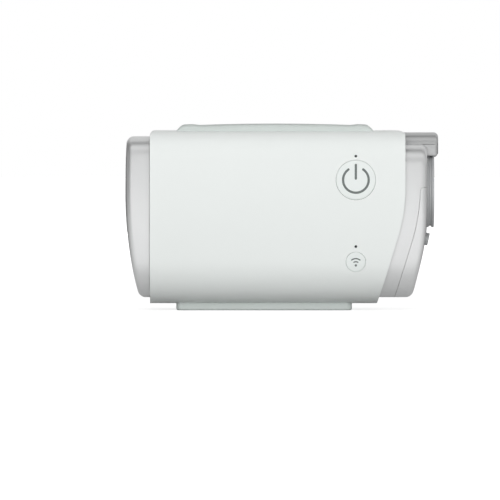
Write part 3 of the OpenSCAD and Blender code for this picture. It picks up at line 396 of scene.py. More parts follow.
def moulded_surface():
    """Group: moulded plastic on Object coordinates. Texture is a fine pitted height, Flow the slow change of gloss
    and tone across a moulding, and Touch the smudges that hands leave."""
    group, grain, out, where = number_group("moulded_surface", "Grain", 9000.0, "Texture", "Flow", "Touch")
    fine = added(group, "TexVoronoi")
    fine.feature = "SMOOTH_F1"
    link(group, where, fine.inputs["Vector"])
    link(group, grain, fine.inputs["Scale"])
    link(group, fine.outputs["Distance"], out["Texture"])
    link(group, noise(group, where, 28.0, 2.0), out["Flow"])
    link(group, mapped(group, noise(group, where, 90.0, 5.0, 0.62), 0.52, 0.72), out["Touch"])
    return group


def worn_edge():
    """Group: a mask of the convex edges of a mesh, from its pointiness, broken up by noise."""
    group, amount, out, where = number_group("worn_edge", "Amount", 0.5, "Mask")
    convex = mapped(group, added(group, "NewGeometry").outputs["Pointiness"], 0.53, 0.60)
    broken = math_node(group, "MULTIPLY", convex, noise(group, where, 260.0, 4.0))
    link(group, math_node(group, "MULTIPLY", broken, amount), out["Mask"])
    return group


def settled_dust():
    """Group: thin dust on what faces up, from the normal's height and a soft noise."""
    group, amount, out, where = number_group("settled_dust", "Amount", 0.2, "Mask")
    split = added(group, "SeparateXYZ")
    link(group, added(group, "NewGeometry").outputs["Normal"], split.inputs[0])
    up = mapped(group, split.outputs["Z"], 0.6, 1.0)
    speck = math_node(group, "MULTIPLY", up, noise(group, where, 700.0, 6.0, 0.7))
    link(group, math_node(group, "MULTIPLY", speck, amount), out["Mask"])
    return group


FINISH = {}                     # every material by its name, which for most is the slot it fills
SURFACE, WEAR, DUST = moulded_surface(), worn_edge(), settled_dust()
DUST_COLOUR = (0.62, 0.61, 0.58, 1.0)
WORN_LIGHTER = 0.35             # how far a worn edge turns towards white
COAT_ROUGH, BUMP_SHARE = 0.12, 0.5
GLOSS_CHANGE = 0.06             # how much the roughness changes over a moulding, and again where it is touched


def linear(rgb):
    """Colour as light from display values of 0 to 255."""
    c = np.asarray(rgb, float) / 255
    return tuple(np.where(c <= 0.04045, c / 12.92, ((c + 0.055) / 1.055) ** 2.4)) + (1.0,)


def mixed(tree, factor, a, b):
    """Colour a turned towards b by a factor."""
    node = added(tree, "Mix")
    node.data_type = "RGBA"
    link(tree, factor, node.inputs["Factor"])
    for value, into in ((a, node.inputs["A"]), (b, node.inputs["B"])):
        if isinstance(value, tuple):
            into.default_value = value
        else:
            link(tree, value, into)
    return node.outputs["Result"]


def shaded(colour, share):
    """A colour made darker or lighter by a share of itself."""
    return tuple(min(c * share, 1.0) for c in colour[:3]) + (1.0,)


def started(name):
    """Starts a material under its name: its node tree and its shader."""
    material = bpy.data.materials.new(name)
    material.use_nodes = True
    FINISH[name] = material
    return material.node_tree, material.node_tree.nodes["Principled BSDF"]


def effect(tree, group, entry, value):
    """Outputs of a shared effect whose one number is value."""
    node = added(tree, "Group")
    node.node_tree = group
    node.inputs[entry].default_value = value
    return node.outputs


def bumped(tree, shader, height, strength, depth):
    """Bump of a shader from a height, its depth in millimetres."""
    node = added(tree, "Bump")
    node.inputs["Strength"].default_value = strength
    node.inputs["Distance"].default_value = depth * MM
    link(tree, height, node.inputs["Height"])
    link(tree, node.outputs["Normal"], shader.inputs["Normal"])


def finish(name, colour, rough, tone=0.02, grain=9000.0, bump=0.02, wear=0.0, dust=0.0, metal=0.0, coat=0.0,
           specular=0.5):
    """A moulded, printed or plated finish: a base colour that flows by tone, fine texture in the bump, gloss that
    changes with flow and touch, lighter worn edges and dust on what faces up."""
    tree, shader = started(name)
    surface = effect(tree, SURFACE, "Grain", grain)
    base = linear(colour)
    colour_out = mixed(tree, surface["Flow"], shaded(base, 1 - 2 * tone), shaded(base, 1 + 2 * tone))
    if wear:
        worn = tuple(c + (1 - c) * WORN_LIGHTER for c in base[:3]) + (1.0,)
        colour_out = mixed(tree, effect(tree, WEAR, "Amount", wear)["Mask"], colour_out, worn)
    if dust:
        colour_out = mixed(tree, effect(tree, DUST, "Amount", dust)["Mask"], colour_out, DUST_COLOUR)
    link(tree, colour_out, shader.inputs["Base Color"])
    slow = math_node(tree, "MULTIPLY_ADD", surface["Flow"], GLOSS_CHANGE)
    slow.node.inputs[2].default_value = rough - GLOSS_CHANGE / 2
    link(tree, math_node(tree, "ADD", slow, math_node(tree, "MULTIPLY", surface["Touch"], GLOSS_CHANGE)),
         shader.inputs["Roughness"])
    bumped(tree, shader, surface["Texture"], BUMP_SHARE, bump)
    for entry, value in (("Metallic", metal), ("Specular IOR Level", specular), ("Coat Weight", coat),
                         ("Coat Roughness", COAT_ROUGH)):
        shader.inputs[entry].default_value = value


finish("case_white", (238, 242, 240), 0.34, tone=0.006, bump=0.012, wear=0.25, dust=0.05)
finish("button_white", (236, 241, 239), 0.30, tone=0.006, bump=0.010, wear=0.25)
finish("end_grey", (225, 226, 226), 0.30, tone=0.008, bump=0.003, wear=0.1, dust=0.02, metal=0.7)
finish("panel_grey", (226, 227, 227), 0.30, tone=0.008, bump=0.003, wear=0.1, dust=0.02, metal=0.7)
# The hood's grey is a darker copy of end_grey: painted shade on the hood's face.
finish("hood_grey_painted_shade", (190, 191, 191), 0.30, tone=0.008, bump=0.003, dust=0.02, metal=0.6)
finish("collar_dark", (184, 186, 187), 0.30, tone=0.02, bump=0.004, dust=0.03, metal=0.25)
finish("pad_soft", (206, 213, 210), 0.62, tone=0.015, grain=5200.0, bump=0.05, dust=0.12, specular=0.3)
finish("foot_rubber", (92, 94, 96), 0.68, tone=0.05, grain=4200.0, bump=0.06, dust=0.15, specular=0.3)
finish("seal_rubber", (46, 46, 48), 0.60, tone=0.05, grain=5200.0, bump=0.04)
finish("boot_silicone", (186, 188, 191), 0.50, tone=0.03, grain=5200.0, bump=0.03)
finish("light_smoke", (44, 47, 48), 0.12, tone=0.02, bump=0.004, coat=0.6)
finish("mark_grey", (112, 119, 117), 0.42, tone=0.02, bump=0.010)
finish("tube_clear", (228, 231, 232), 0.30, tone=0.02)
finish("contact_gold", (232, 196, 108), 0.24, tone=0.03, bump=0.01, metal=1.0)
finish("screw_steel", (188, 190, 194), 0.34, tone=0.05, bump=0.02, metal=1.0)
finish("stator_steel", (128, 130, 134), 0.42, tone=0.06, bump=0.04, metal=1.0)
finish("winding_copper", (205, 120, 66), 0.36, tone=0.08, grain=2600.0, bump=0.08, metal=1.0)
finish("board_green", (34, 104, 66), 0.40, tone=0.10, bump=0.02)
finish("chip_black", (44, 44, 46), 0.48, tone=0.05, bump=0.03)
finish("frame_natural", (226, 223, 212), 0.50, tone=0.02, bump=0.03)
finish("blower_dark", (70, 72, 75), 0.48, tone=0.05, bump=0.04)


def fibre(name, colour, scale):
    """Felt or open foam: tangled fibres from two stretched noises, in colour and in height."""
    tree, shader = started(name)
    where = added(tree, "TexCoord").outputs["Object"]
    tangle = math_node(tree, "MULTIPLY", noise(tree, where, scale, 8.0, 0.72), noise(tree, where, scale * 0.37, 5.0))
    base = linear(colour)
    link(tree, mixed(tree, mapped(tree, tangle, 0.14, 0.36), shaded(base, 0.62), base), shader.inputs["Base Color"])
    bumped(tree, shader, tangle, 0.8, 0.25)
    shader.inputs["Roughness"].default_value = 0.95
    shader.inputs["Sheen Weight"].default_value = 0.25


fibre("filter_felt", (236, 238, 236), 1500.0)
fibre("foam_dark", (74, 76, 80), 900.0)

for part in frame["record"]["subparts"]:
    mesh = frame["nodes"][part["node"]].data
    mesh.materials.clear()
    mesh.materials.append(FINISH[part["material_slot"]])


# ------------------------ white case

CASE = crowned(0.0, CASE_TOP)
CORNER_R = 1.8                  # rounding of the case's top edge at its left end, seen from the front
CASE_W = CASE_RIGHT - CASE_LEFT
SHOULDER_R, SHOULDER_RUN = 9.0, 3.8     # the top edge rounds down a little before the outlet end


def case_skin(line, s):
    """Points (x, y, z) over the case: its outline at lengths s, stretched between its left edge and its leaning right
    edge. The top's two ends round down: z is at most the height of a circle there."""
    p, _ = along(line, s)
    y, z = p[:, :1], p[:, 1:]
    u = spaced([0, CORNER_R / CASE_W, 1 - SHOULDER_RUN / CASE_W, 1], 1 / CASE_W)
    u = np.concatenate([u[0] + (u[3] - u[0]) * np.linspace(0, 1, LEFT_COLS)[:-1] ** 1.5, u[3:-4],
                        u[-5] + (u[-1] - u[-5]) * np.linspace(0, 1, RIGHT_COLS)[1:]])[None, :]
    x = CASE_LEFT + (case_edge(z) - CASE_LEFT) * u
    left = np.clip(CASE_LEFT + CORNER_R - x, 0, CORNER_R)
    right = np.clip(x - (CASE_RIGHT - SHOULDER_RUN), 0, SHOULDER_R)
    z_left = CASE_TOP - CORNER_R + np.sqrt(CORNER_R ** 2 - left ** 2)
    z_right = CASE_TOP - SHOULDER_R + np.sqrt(SHOULDER_R ** 2 - right ** 2)
    return xyz(x, y, np.minimum(z, np.minimum(z_left, z_right)))


def on_front(xz):
    """Points of the front face over plane points (x, z)."""
    return xyz(xz[..., 0], front_face_y(xz[..., 1], CASE), xz[..., 1])


LAMP_R, LAMP_GAP = 0.58, 0.04
LAMP_BAND, LAMP_BLOCK = 1.5, (2.6, 1.0)     # grid kept above a lamp, and half the block of cells about it
NEAR = 0.01                     # how far off a grid line may lie and still count
CASE_SOFT = 0.22                # rounding of the edges of the case's wall
LEFT_COLS, RIGHT_COLS = 13, 11  # grid lines over the rounded left end and over the shoulder
POWER_LAMP_XZ, WIRELESS_LAMP_XZ = front_middle("power_light_pipe"), front_middle("wireless_light_pipe")
# For each button: centre, radius of its hole, reach of the hole's block of cells past it, lamp, reach above the hole
HOLES = [(POWER_XZ, POWER_R + BUTTON_GAP, 1.4, POWER_LAMP_XZ, 0.35),
         (WIRELESS_XZ, WIRELESS_R + BUTTON_GAP, 1.2, WIRELESS_LAMP_XZ, 0.7)]


def front_cover():
    """Front half of the case, with round holes for the two buttons and their lamps."""
    line = front_half(CASE, SEAM_Y)
    off_flat = 0.5                          # the front face starts this far below the top and above the underside
    fall = np.nonzero((line[1][:, 1] < CASE_TOP - off_flat) & (line[1][:, 1] > CASE_LOW + off_flat))[0]
    s_face, z_face = line[0][fall], line[1][fall, 1]
    stops = []
    for centre, r, side, lamp_xz, above in HOLES:
        stops += [lamp_xz[1] + LAMP_BAND, centre[1] + r + above, centre[1] - r - side]
    s_stops = np.interp(-np.array(sorted(stops, reverse=True)), -z_face, s_face)
    s = spaced([0, *s_stops, line[0][-1]], 1.0)
    p = case_skin(line, s)
    flat, keep = p[..., [0, 2]], np.ones((p.shape[0] - 1, p.shape[1] - 1), bool)
    z_row = p[:, 0, 2]
    front = np.nonzero((s > s_face[0]) & (s < s_face[-1]))[0]
    skin = Skin()

    def opening(top, bottom, centre, half, r, rings):
        """Punches a hole between two heights of the front's grid."""
        rows = front[(z_row[front] <= top + NEAR) & (z_row[front] >= bottom - NEAR)]
        j0, j1 = block_about(flat[rows], centre, half)[2:]
        punch(skin, flat, keep, (rows[0], rows[-1], j0, j1), centre, r, on_front, rings=rings)

    for centre, r, side, lamp_xz, above in HOLES:
        band = centre[1] + r + above
        opening(band, centre[1] - r - side, centre, (r + side, r), r, 5)
        opening(lamp_xz[1] + LAMP_BAND, band, lamp_xz, LAMP_BLOCK, LAMP_R + LAMP_GAP, 4)
    skin.grid(p, keep)
    return piece("front_shell", skin, "case", "case_white", ["front_cover"], WALL, CASE_SOFT)


def rear_cover():
    """Rear half of the case."""
    line = rear_half(CASE, SEAM_Y + SEAM)
    skin = Skin().grid(case_skin(line, spaced([0, line[0][-1]], 1.0)))
    return piece("rear_shell", skin, "case", "case_white", ["rear_cover"], WALL, CASE_SOFT)


front_cover()
rear_cover()


# ------------------------ grey ends

def four_sides(o, split, nv, nu):
    """Outline of an end as four sides that meet at the middles of its fillets: front and back (up), top and bottom
    (front to back), each as points and normals. Front and back have nv[k] cells between the heights in split."""
    front, rear = front_half(o, 0.0), rear_half(o, 0.0)
    eighth = math.pi / 4
    s_front_top = abs(o["top_c"][0]) + eighth * o["r_top"]
    s_front_low = front[0][-1] - abs(o["low_c"][0]) - eighth * o["r_low"]
    s_rear_low = o["back"] - o["r_back"] + eighth * o["r_back"]
    s_rear_top = rear[0][-1] - s_rear_low

    def part(line, s0, s1):
        return np.hstack(along(line, np.linspace(s0, s1, int(abs(s1 - s0) / DENSE) + 2)))

    def upright(line, s0, s1):
        data = part(line, s0, s1)
        s_of = np.interp(split, data[:, 1], np.linspace(s0, s1, len(data)))
        stops = [s0, *s_of, s1]
        runs = [np.linspace(a, b, n + 1)[:-1] for a, b, n in zip(stops, stops[1:], nv)]
        return along(line, np.concatenate(runs + [[s1]]))

    def level(*runs):
        whole = path(*runs)
        return along(whole, np.linspace(0, whole[0][-1], nu + 1))

    return dict(
        front=upright(front, s_front_low, s_front_top), back=upright(rear, s_rear_low, s_rear_top),
        top=level(part(front, s_front_top, 0), part(rear, rear[0][-1], s_rear_top)),
        bottom=level(part(front, s_front_low, front[0][-1]), part(rear, 0, s_rear_low)))


def loop_of(sides):
    """The four sides as one loop, front up, over the top, down the back and along the bottom."""
    order = [(sides["front"], False), (sides["top"], False), (sides["back"], True), (sides["bottom"], True)]
    runs = [[a[::-1][:-1] if turned else a[:-1] for a in side] for side, turned in order]
    return np.vstack([r[0] for r in runs]), np.vstack([r[1] for r in runs])


def face_of(sides, inset, low_rows, high_rows):
    """Face of an end, in Y and Z, within its outline moved in by inset. A point lies on the line between the front
    and back sides, and over the first and last rows it turns to follow the bottom and the top: ruled(u, v) +
    a^2 (top - ruled) + b^2 (bottom - ruled), a and b falling to 0 over those rows."""
    f, b, t, d = [sides[k][0] + inset * sides[k][1] for k in ("front", "back", "top", "bottom")]
    u = np.linspace(0, 1, len(t))[None, :, None]
    row = np.arange(len(f))[:, None, None]
    below = np.clip(1 - row / low_rows, 0, 1) ** 2
    above = np.clip(1 - (len(f) - 1 - row) / high_rows, 0, 1) ** 2
    ruled = f[:, None] * (1 - u) + b[:, None] * u
    return ruled + above * (t[None] - ruled[-1:]) + below * (d[None] - ruled[:1])


def over_face(edge):
    """A lift from plane points (y, z) to the end's face."""
    return lambda yz: xyz(edge(yz[..., 1]), yz[..., 0], yz[..., 1])


def section(s, roll_x, r, way):
    """Section of an end along X: straight to roll_x, then a quarter turn of radius r. Gives x and the inset."""
    a = np.clip((s - roll_x) * way / r, 0, math.pi / 2)
    return np.where(a > 0, roll_x + way * r * np.sin(a), s), r * (1 - np.cos(a))


def wrapped(edge, p, n, cols, roll, way):
    """Side of an end and its rounding into the face: points over the outline p, with normals n, at each x of cols.
    They follow the edge's bow, apart from the first column."""
    x, inset = section(cols, roll[:, None], END_ROLL, way)
    yz = p[:, None] + inset[..., None] * n[:, None]
    x = x + edge(yz[..., 1]) - edge(p[:, 1])[:, None]
    x[:, 0] = cols[:, 0]
    return np.concatenate([x[..., None], yz], -1)


def filter_cover():
    """Shell of the pull-off filter cover, its bowed face cut by the intake slots."""
    split, rows, side_cols = [23.0, 58.0], [16, 35, 16], 18      # closer rows between the heights that hold the slots
    slots, pitch, slot_r, slot_in = 7, 5.0, 1.1, 4
    block_past, block_half = 1.2, 1.75      # how far a slot's block of cells reaches past its ends, and up and down
    sides = four_sides(crowned(STEP_IN, CASE_TOP - STEP_IN), split, rows, ACROSS)
    p, n = loop_of(sides)
    roll = door_edge(p[:, 1]) + END_ROLL
    cols = door_high[0] + (roll - END_ROLL * math.pi / 2 - door_high[0])[:, None] * spaced([0, 1], 1 / side_cols)
    skin = Skin().ring(wrapped(door_edge, p, n, cols, roll, -1).transpose(1, 0, 2))
    flat = face_of(sides, END_ROLL, rows[0], rows[-1])
    keep = np.ones((flat.shape[0] - 1, flat.shape[1] - 1), bool)
    low, high = corners("air_filter")
    mid, slot_half = (low + high)[1:] / 2, (high[1] - low[1]) / 2 - slot_in
    for k in range(slots):
        centre = np.array([mid[0], mid[1] + pitch * (k - slots // 2)])
        block = block_about(flat, centre, (slot_half + block_past, block_half))
        punch(skin, flat, keep, block, centre, slot_r, over_face(door_edge), run=(slot_half - slot_r, 0), rings=2)
    skin.grid(over_face(door_edge)(flat), keep)
    return piece("filter_shell", skin, "filter_door", "end_grey", ["filter_cover"], DOOR_WALL, DOOR_SOFT)


def outlet_end():
    """End cap and port panel of the outlet end, two parts of one skin. The seam between them runs parallel to the
    case's edge, turns a rounded corner and crosses the face just over the middle of the outlet."""
    corner_z = PANEL_TOP - PANEL_CORNER
    split = [corner_z, PANEL_TOP - FINE_SEAM, PANEL_TOP]
    nv = [44, 8, 1, 14]         # rows below the panel's corner, beside it, over the seam and above
    seam_row, gap_col, panel_cols = nv[0] + nv[1], 9, 14
    sides = four_sides(crowned(STEP_IN, CAP_TOP), split, nv, ACROSS)
    p, n = loop_of(sides)
    z = p[:, 1]
    roll = end_edge(z) - END_ROLL
    last = roll + END_ROLL * math.pi / 2
    turn = np.clip(z - corner_z, 0, PANEL_CORNER)
    seam = case_edge(z, PANEL_IN) + PANEL_CORNER - np.sqrt(PANEL_CORNER ** 2 - turn ** 2)
    lip = case_edge(z, FLANGE_WALL - GRIP)
    cols = np.concatenate([
        lip[:, None] + (seam - lip)[:, None] * spaced([0, 1], 1 / gap_col),
        (seam + FINE_SEAM)[:, None] + (last - seam - FINE_SEAM)[:, None] * spaced([0, 1], 1 / panel_cols)], 1)
    side = wrapped(end_edge, p, n, cols, roll, 1)
    side = np.concatenate([side, side[:1]], 0)
    # cells of the loop: the front goes up first, the back comes down after the top
    k = np.arange(len(p))
    rows_up = len(sides["front"][0]) - 1
    back_first = rows_up + ACROSS
    from_low = np.where(k < rows_up, k, np.where(k < back_first, rows_up,
                        np.where(k < back_first + rows_up, back_first + rows_up - 1 - k, -1)))
    lower, gap_row = from_low < seam_row, from_low == seam_row
    c = np.arange(side.shape[1] - 1)
    on_cap = (c < gap_col) | (~lower & ~gap_row)[:, None]
    on_panel = (c > gap_col) & lower[:, None]
    flat = face_of(sides, END_ROLL, FACE_EASE, FACE_EASE)
    away = flat - OUTLET
    far = np.linalg.norm(away, axis=-1, keepdims=True)
    hole_r = FLANGE_R - HOLE_IN
    inside = (far < hole_r)[..., 0]
    flat = np.where(far < hole_r, OUTLET + away * hole_r / np.maximum(far, 1e-6), flat)
    hollow = inside[:-1, :-1] & inside[1:, :-1] & inside[1:, 1:] & inside[:-1, 1:]
    row = np.arange(flat.shape[0] - 1)[:, None]
    lift = over_face(end_edge)
    cap, panel, face_panel = Skin(), Skin(), ~hollow & (row < seam_row)
    cap.grid(side, on_cap).grid(lift(flat), ~hollow & (row > seam_row))
    low, high = corners("power_contact")
    centre = np.array([(low[1] + high[1]) / 2, SOCKET_Z])
    punch(panel, flat, face_panel, block_about(flat, centre, SOCKET_BLOCK), centre, SOCKET_R + SOCKET_GAP, lift,
          rings=3)
    panel.grid(side, on_panel).grid(lift(flat), face_panel)
    piece("end_cap_shell", cap, "case", "end_grey", ["right_end_cap"], END_WALL, END_SOFT)
    outer, inner = crowned(WALL + CLEAR, CASE_TOP - WALL - CLEAR), crowned(STEP_IN + CLEAR, CAP_TOP - CLEAR)
    rims = [loop_of(four_sides(q, split, nv, ACROSS))[0] for q in (outer, inner)]
    ring = [np.hstack([case_edge(yz[:, 1:], out), yz]) for yz, out in
            ((rims[0], -GRIP), (rims[0], FLANGE_WALL - GRIP), (rims[1], FLANGE_WALL - GRIP), (rims[1], -GRIP))]
    piece("end_cap_flange", Skin().ring(np.array(ring + ring[:1])), "case", "end_grey", bevel=0.25)
    piece("port_panel_shell", panel, "case", "panel_grey", ["port_panel"], END_WALL, END_SOFT)


ACROSS = 32                     # cells across an end, from its front to its back
FACE_EASE = 14                  # rows over which the outlet end's face turns to follow its top and its bottom
HOLE_IN = 3.7                   # from the flange's edge to the hole in the face that the flange hides
END_WALL, END_SOFT, CLEAR = 1.5, 0.12, 0.2
DOOR_WALL, DOOR_SOFT = 1.8, 0.2
SOCKET_GAP = 0.1
SOCKET_R, SOCKET_LEAN, SOCKET_BLOCK = 2.75, 12.5, (4.6, 4.4)
SOCKET_Z = OUTLET[1] - 21.5
filter_cover()
outlet_end()


# ------------------------ hood

def outlet_hood():
    """Hood over the outlet: an L seen from the front, carried along Y. Its short leg hangs down past the end cap and
    its underside there arches about the outlet. Towards the front and the back the L draws in round a quarter turn,
    with a wider one over its top."""
    r, top_r, lip_r, soft = 1.6, 5.0, 1.9, 0.12
    touch = 0.1                             # gap left to the case's edge and to the cap's top
    x0, x1 = CASE_RIGHT + touch, hood_high[0]
    y0, y1 = hood_low[1], hood_high[1]
    top, lip_z, over_cap = hood_high[2], hood_low[2], CAP_TOP + touch
    leg_x = END_X - 1.9                     # the leg starts behind the cap's rounded corner
    arch_r = FLANGE_R + 0.5
    turn = swept(0, 90, 9)
    quarter = np.stack([np.sin(turn), np.cos(turn)], 1)
    ease = swept(0, 90, 13)
    front = y0 + top_r - top_r * np.cos(ease)
    y_rows = np.concatenate([front, np.linspace(y0 + top_r, y1 - top_r, 37)[1:-1], (y0 + y1 - front)[::-1]])
    rows = []
    for y in y_rows:
        near = min(y - y0, y1 - y)
        draw, fall, lift = (q - math.sqrt(q ** 2 - (q - min(near, q)) ** 2) for q in (r, top_r, lip_r))
        arch = OUTLET[1] + math.sqrt(max(arch_r ** 2 - (y - OUTLET[0]) ** 2, 0))
        low = max(arch, lip_z) + lift
        small = r - draw
        under = over_cap + min(draw, soft)
        outline = np.vstack([
            [[x0, top - fall], [leg_x, top - fall]],
            np.array([x1 - r, top - fall - small]) + small * quarter,
            [[x1 - draw, under]],
            np.array([x1 - r, low + small]) + small * quarter[::-1] * [1, -1],
            [[leg_x, low], [leg_x, under], [x0, under]]])
        rows.append(np.stack([outline[:, 0], np.full(len(outline), y), outline[:, 1]], 1))
    skin = Skin().ring(np.array(rows))
    n = len(quarter)
    for row in (rows[0], rows[-1]):
        for face in ((0, 1, -2, -1), (1, 2, n + 2, -2), (n + 2, n + 3, -3, -2)):
            skin.flat(row[list(face)])
    # Its look is the ends' grey made darker: painted shade.
    return piece("hood_block", skin, "case", "end_grey", ["outlet_hood"], bevel=0.25, angle=50, look="hood_grey_painted_shade")


outlet_hood()


# ------------------------ turned pieces

def turned(outline, turns, place):
    """Surface of revolution: each outline point (r, h) goes round at h (r cos a, r sin a, h), then place puts the
    axis where it belongs."""
    a = full_turn(turns)
    rh = np.asarray(outline, float)
    return place(xyz(rh[:, :1] * np.cos(a), rh[:, :1] * np.sin(a), rh[:, 1:]))


def rounded(points, r, n=5):
    """An outline with every inner corner turned into a curve that starts r before it and ends r after it."""
    p = [np.asarray(q, float) for q in points]
    out = [p[0]]
    for a, b, c in zip(p, p[1:], p[2:]):
        ab, cb = a - b, c - b
        la, lc = np.linalg.norm(ab), np.linalg.norm(cb)
        d = min(r, la * 0.45, lc * 0.45)
        s, e = b + ab / la * d, b + cb / lc * d
        t = np.linspace(0, 1, n)[:, None]
        out.extend((1 - t) ** 2 * s + 2 * t * (1 - t) * b + t ** 2 * e)
    return np.array(out + [p[-1]])


def about_x(x0, yz):
    """Puts a turned piece's axis along +X from x0, through (y, z)."""
    return lambda q: xyz(x0 + q[..., 2], yz[0] + q[..., 0], yz[1] + q[..., 1])


EDGE_R = 0.35                   # how far an edge of the flange or the socket is rounded


def outlet_port():
    """Outlet tube with its flange: an outline of radius against X, with a groove round the flange's edge and a low
    step on its face."""
    bore, tube, step_r, mouth_r, step, notch = 11.0, 12.6, 14.6, 12.4, 0.5, 0.6
    tip = port_high[0] - port_low[0]
    back, groove = END_X - 0.4 - port_low[0], tip - 2.4
    line = [(bore, 0), (tube, 0), (tube, back), (FLANGE_R, back), (FLANGE_R, groove),
            (FLANGE_R - notch, groove + 0.4), (FLANGE_R - notch, groove + 1.2), (FLANGE_R, groove + 1.4),
            (FLANGE_R, tip), (step_r, tip), (step_r, tip - step), (mouth_r, tip - step), (mouth_r, tip), (bore, tip),
            (bore, 0)]
    skin = Skin().ring(turned(rounded(line, EDGE_R), 144, about_x(port_low[0], OUTLET)))
    return piece("outlet_ring", skin, "case", "collar_dark", ["outlet_port"])


def along_socket(q):
    """Puts a turned piece on the leaning face of the end, its axis out of the face."""
    a = math.radians(SOCKET_LEAN)
    out = np.array([math.cos(a), 0, -math.sin(a)])
    up = np.array([math.sin(a), 0, math.cos(a)])
    origin = np.array([float(end_edge(np.array(SOCKET_Z))), OUTLET[0], SOCKET_Z])
    return origin + q[..., 2:] * out + q[..., :1] * up + q[..., 1:2] * np.array([0, 1.0, 0])


def power_socket():
    """Collar of the power socket, with a lip round its bore."""
    bore, proud, floor, seat = 1.9, 1.8, -6.0, SOCKET_R + 1.2
    line = [(0, floor), (bore, floor), (bore, proud), (SOCKET_R, proud), (SOCKET_R, 0.6), (SOCKET_R, -1.7),
            (seat, -2.1), (seat, floor - 1), (0, floor - 1)]
    skin = Skin().ring(turned(rounded(line, EDGE_R), 64, along_socket))
    return piece("socket_collar", skin, "case", "collar_dark", ["power_socket"])


def rubber_feet():
    """Four feet on the back: low discs with a rounded edge and a shallow ring."""
    low, high = corners("rubber_feet")
    r, y0, tip, groove = 4.5, low[1], high[1] - low[1], 0.25
    line = [(0, 0), (r, 0), (r, tip), (r - 1.3, tip), (r - 1.5, tip - groove), (r - 1.9, tip - groove),
            (r - 2.1, tip), (0, tip)]
    x_left, x_right, x_inner = low[0] + r, high[0] - r, CASE_RIGHT - 32.1
    z_low, z_high = low[2] + r, high[2] - r
    skin = Skin()
    for x, z in [(x_left, z_low), (x_left, z_high), (x_right, z_low), (x_inner, z_high)]:
        skin.ring(turned(rounded(line, 0.3), 48, lambda q: xyz(x + q[..., 0], y0 + q[..., 2], z + q[..., 1])))
    return piece("feet", skin, "case", "foot_rubber", ["rubber_feet"])


outlet_port()
power_socket()
rubber_feet()


# ------------------------ buttons, lamps and marks

def button_cap(name, centre, r, body, node):
    """Button cap: a disc whose face follows the case, its rim rolled over, with a skirt into the case."""
    roll, skirt = 0.3, 2.6
    a = full_turn(96)
    t = swept(0, 90, 5)
    radius = np.concatenate([np.linspace(0, r - roll, 9), (r - roll + roll * np.sin(t))[1:], [r, r, 0]])
    depth = np.concatenate([np.zeros(9), (roll * (1 - np.cos(t)))[1:], [skirt - 0.4, skirt, skirt]])
    x = centre[0] + radius[:, None] * np.cos(a)
    z = centre[1] + radius[:, None] * np.sin(a)
    y = front_face_y(z, CASE) + depth[:, None]
    flat = depth[:, None] >= skirt - 1e-6
    y = np.where(flat, front_face_y(np.array(centre[1]), CASE) + skirt, y)
    return piece(name, Skin().ring(xyz(x, y, z)), body, "button_white", [node])


PROUD, INK = 0.025, 0.02        # how far a printed mark stands on its button, and its thickness


def on_button(xz):
    """Points just proud of the case's face over plane points (x, z)."""
    return on_front(xz) - [0, PROUD, 0]


def stroke(skin, line, width):
    """A printed stroke: a ribbon of the width along a line of plane points, with round ends. Its edges lie half a
    width to each side, and at the ends the half width follows a circle."""
    tangent = np.gradient(line, axis=0)
    tangent /= np.linalg.norm(tangent, axis=1, keepdims=True)
    side = np.stack([-tangent[:, 1], tangent[:, 0]], 1)
    run = np.concatenate([[0], np.cumsum(np.hypot(*np.diff(line, axis=0).T))])
    half = width / 2
    near = np.minimum(np.minimum(run, run[-1] - run), half)
    reach = np.sqrt(np.maximum(half ** 2 - (half - near) ** 2, 1e-8))
    t = np.linspace(-1, 1, 5)[None, :, None]
    skin.grid(on_button(line[:, None] + side[:, None] * reach[:, None, None] * t))


def arc_points(centre, r, a0, a1, n=61):
    """Plane points on an arc, a0 to a1 degrees from the top, clockwise."""
    a = swept(a0, a1, n)
    return np.asarray(centre) + r * np.stack([np.sin(a), np.cos(a)], 1)


def stroke_line(points, width):
    """A line drawn out by half a width at both ends, with extra points there for its round ends."""
    s = np.concatenate([[0], np.cumsum(np.hypot(*np.diff(points, axis=0).T))])
    ends = width / 2 * (1 - np.cos(np.linspace(0, math.pi / 2, 9)))
    wanted = np.unique(np.concatenate([ends, np.linspace(width / 2, s[-1] - width / 2, 49), s[-1] - ends]))
    return np.stack([np.interp(wanted, s, points[:, k]) for k in range(2)], 1)


def power_mark():
    """The usual standby sign: an open ring and an upright bar through its gap."""
    skin, width, ring_r, half_gap = Skin(), 1.0, 5.55, 30
    foot, tip = POWER_XZ[1] + 0.1, POWER_XZ[1] + 7.0
    stroke(skin, stroke_line(arc_points(POWER_XZ, ring_r, half_gap, 360 - half_gap, 181), width), width)
    bar = np.stack([np.full(41, POWER_XZ[0]), np.linspace(foot, tip, 41)], 1)
    stroke(skin, stroke_line(bar, width), width)
    return piece("power_mark", skin, "power_key", "button_white", wall=INK, look="mark_grey")


def wireless_mark():
    """A generic sign for radio: a dot with two arcs over it."""
    width, dot_r, reach = 0.55, 0.5, 42
    foot = np.array([WIRELESS_XZ[0], WIRELESS_XZ[1] - 1.5])
    a = full_turn(33)
    radius = np.array([0.0, dot_r / 2, dot_r])[:, None]
    skin = Skin().ring(on_button(foot + np.stack([radius * np.cos(a), radius * np.sin(a)], -1)))
    for r in (1.6, 2.95):
        stroke(skin, stroke_line(arc_points(foot, r, -reach, reach), width), width)
    return piece("wireless_mark", skin, "wireless_key", "button_white", wall=INK, look="mark_grey")


def lamp(name, centre, node):
    """Lens of a status lamp: a low dome flush with the case, on a pin into it."""
    a = full_turn(40)
    dome, pin, sunk = 0.12, 4.5, 0.02
    t = np.linspace(0, 1, 7)
    radius = np.concatenate([LAMP_R * t, [LAMP_R, 0]])[:, None]
    depth = np.concatenate([dome * t ** 2, [pin, pin]])[:, None]
    x, z = centre[0] + radius * np.cos(a), centre[1] + radius * np.sin(a)
    y = front_face_y(z, CASE) + depth + sunk
    return piece(name, Skin().ring(xyz(x, y, z)), "case", "light_smoke", [node])


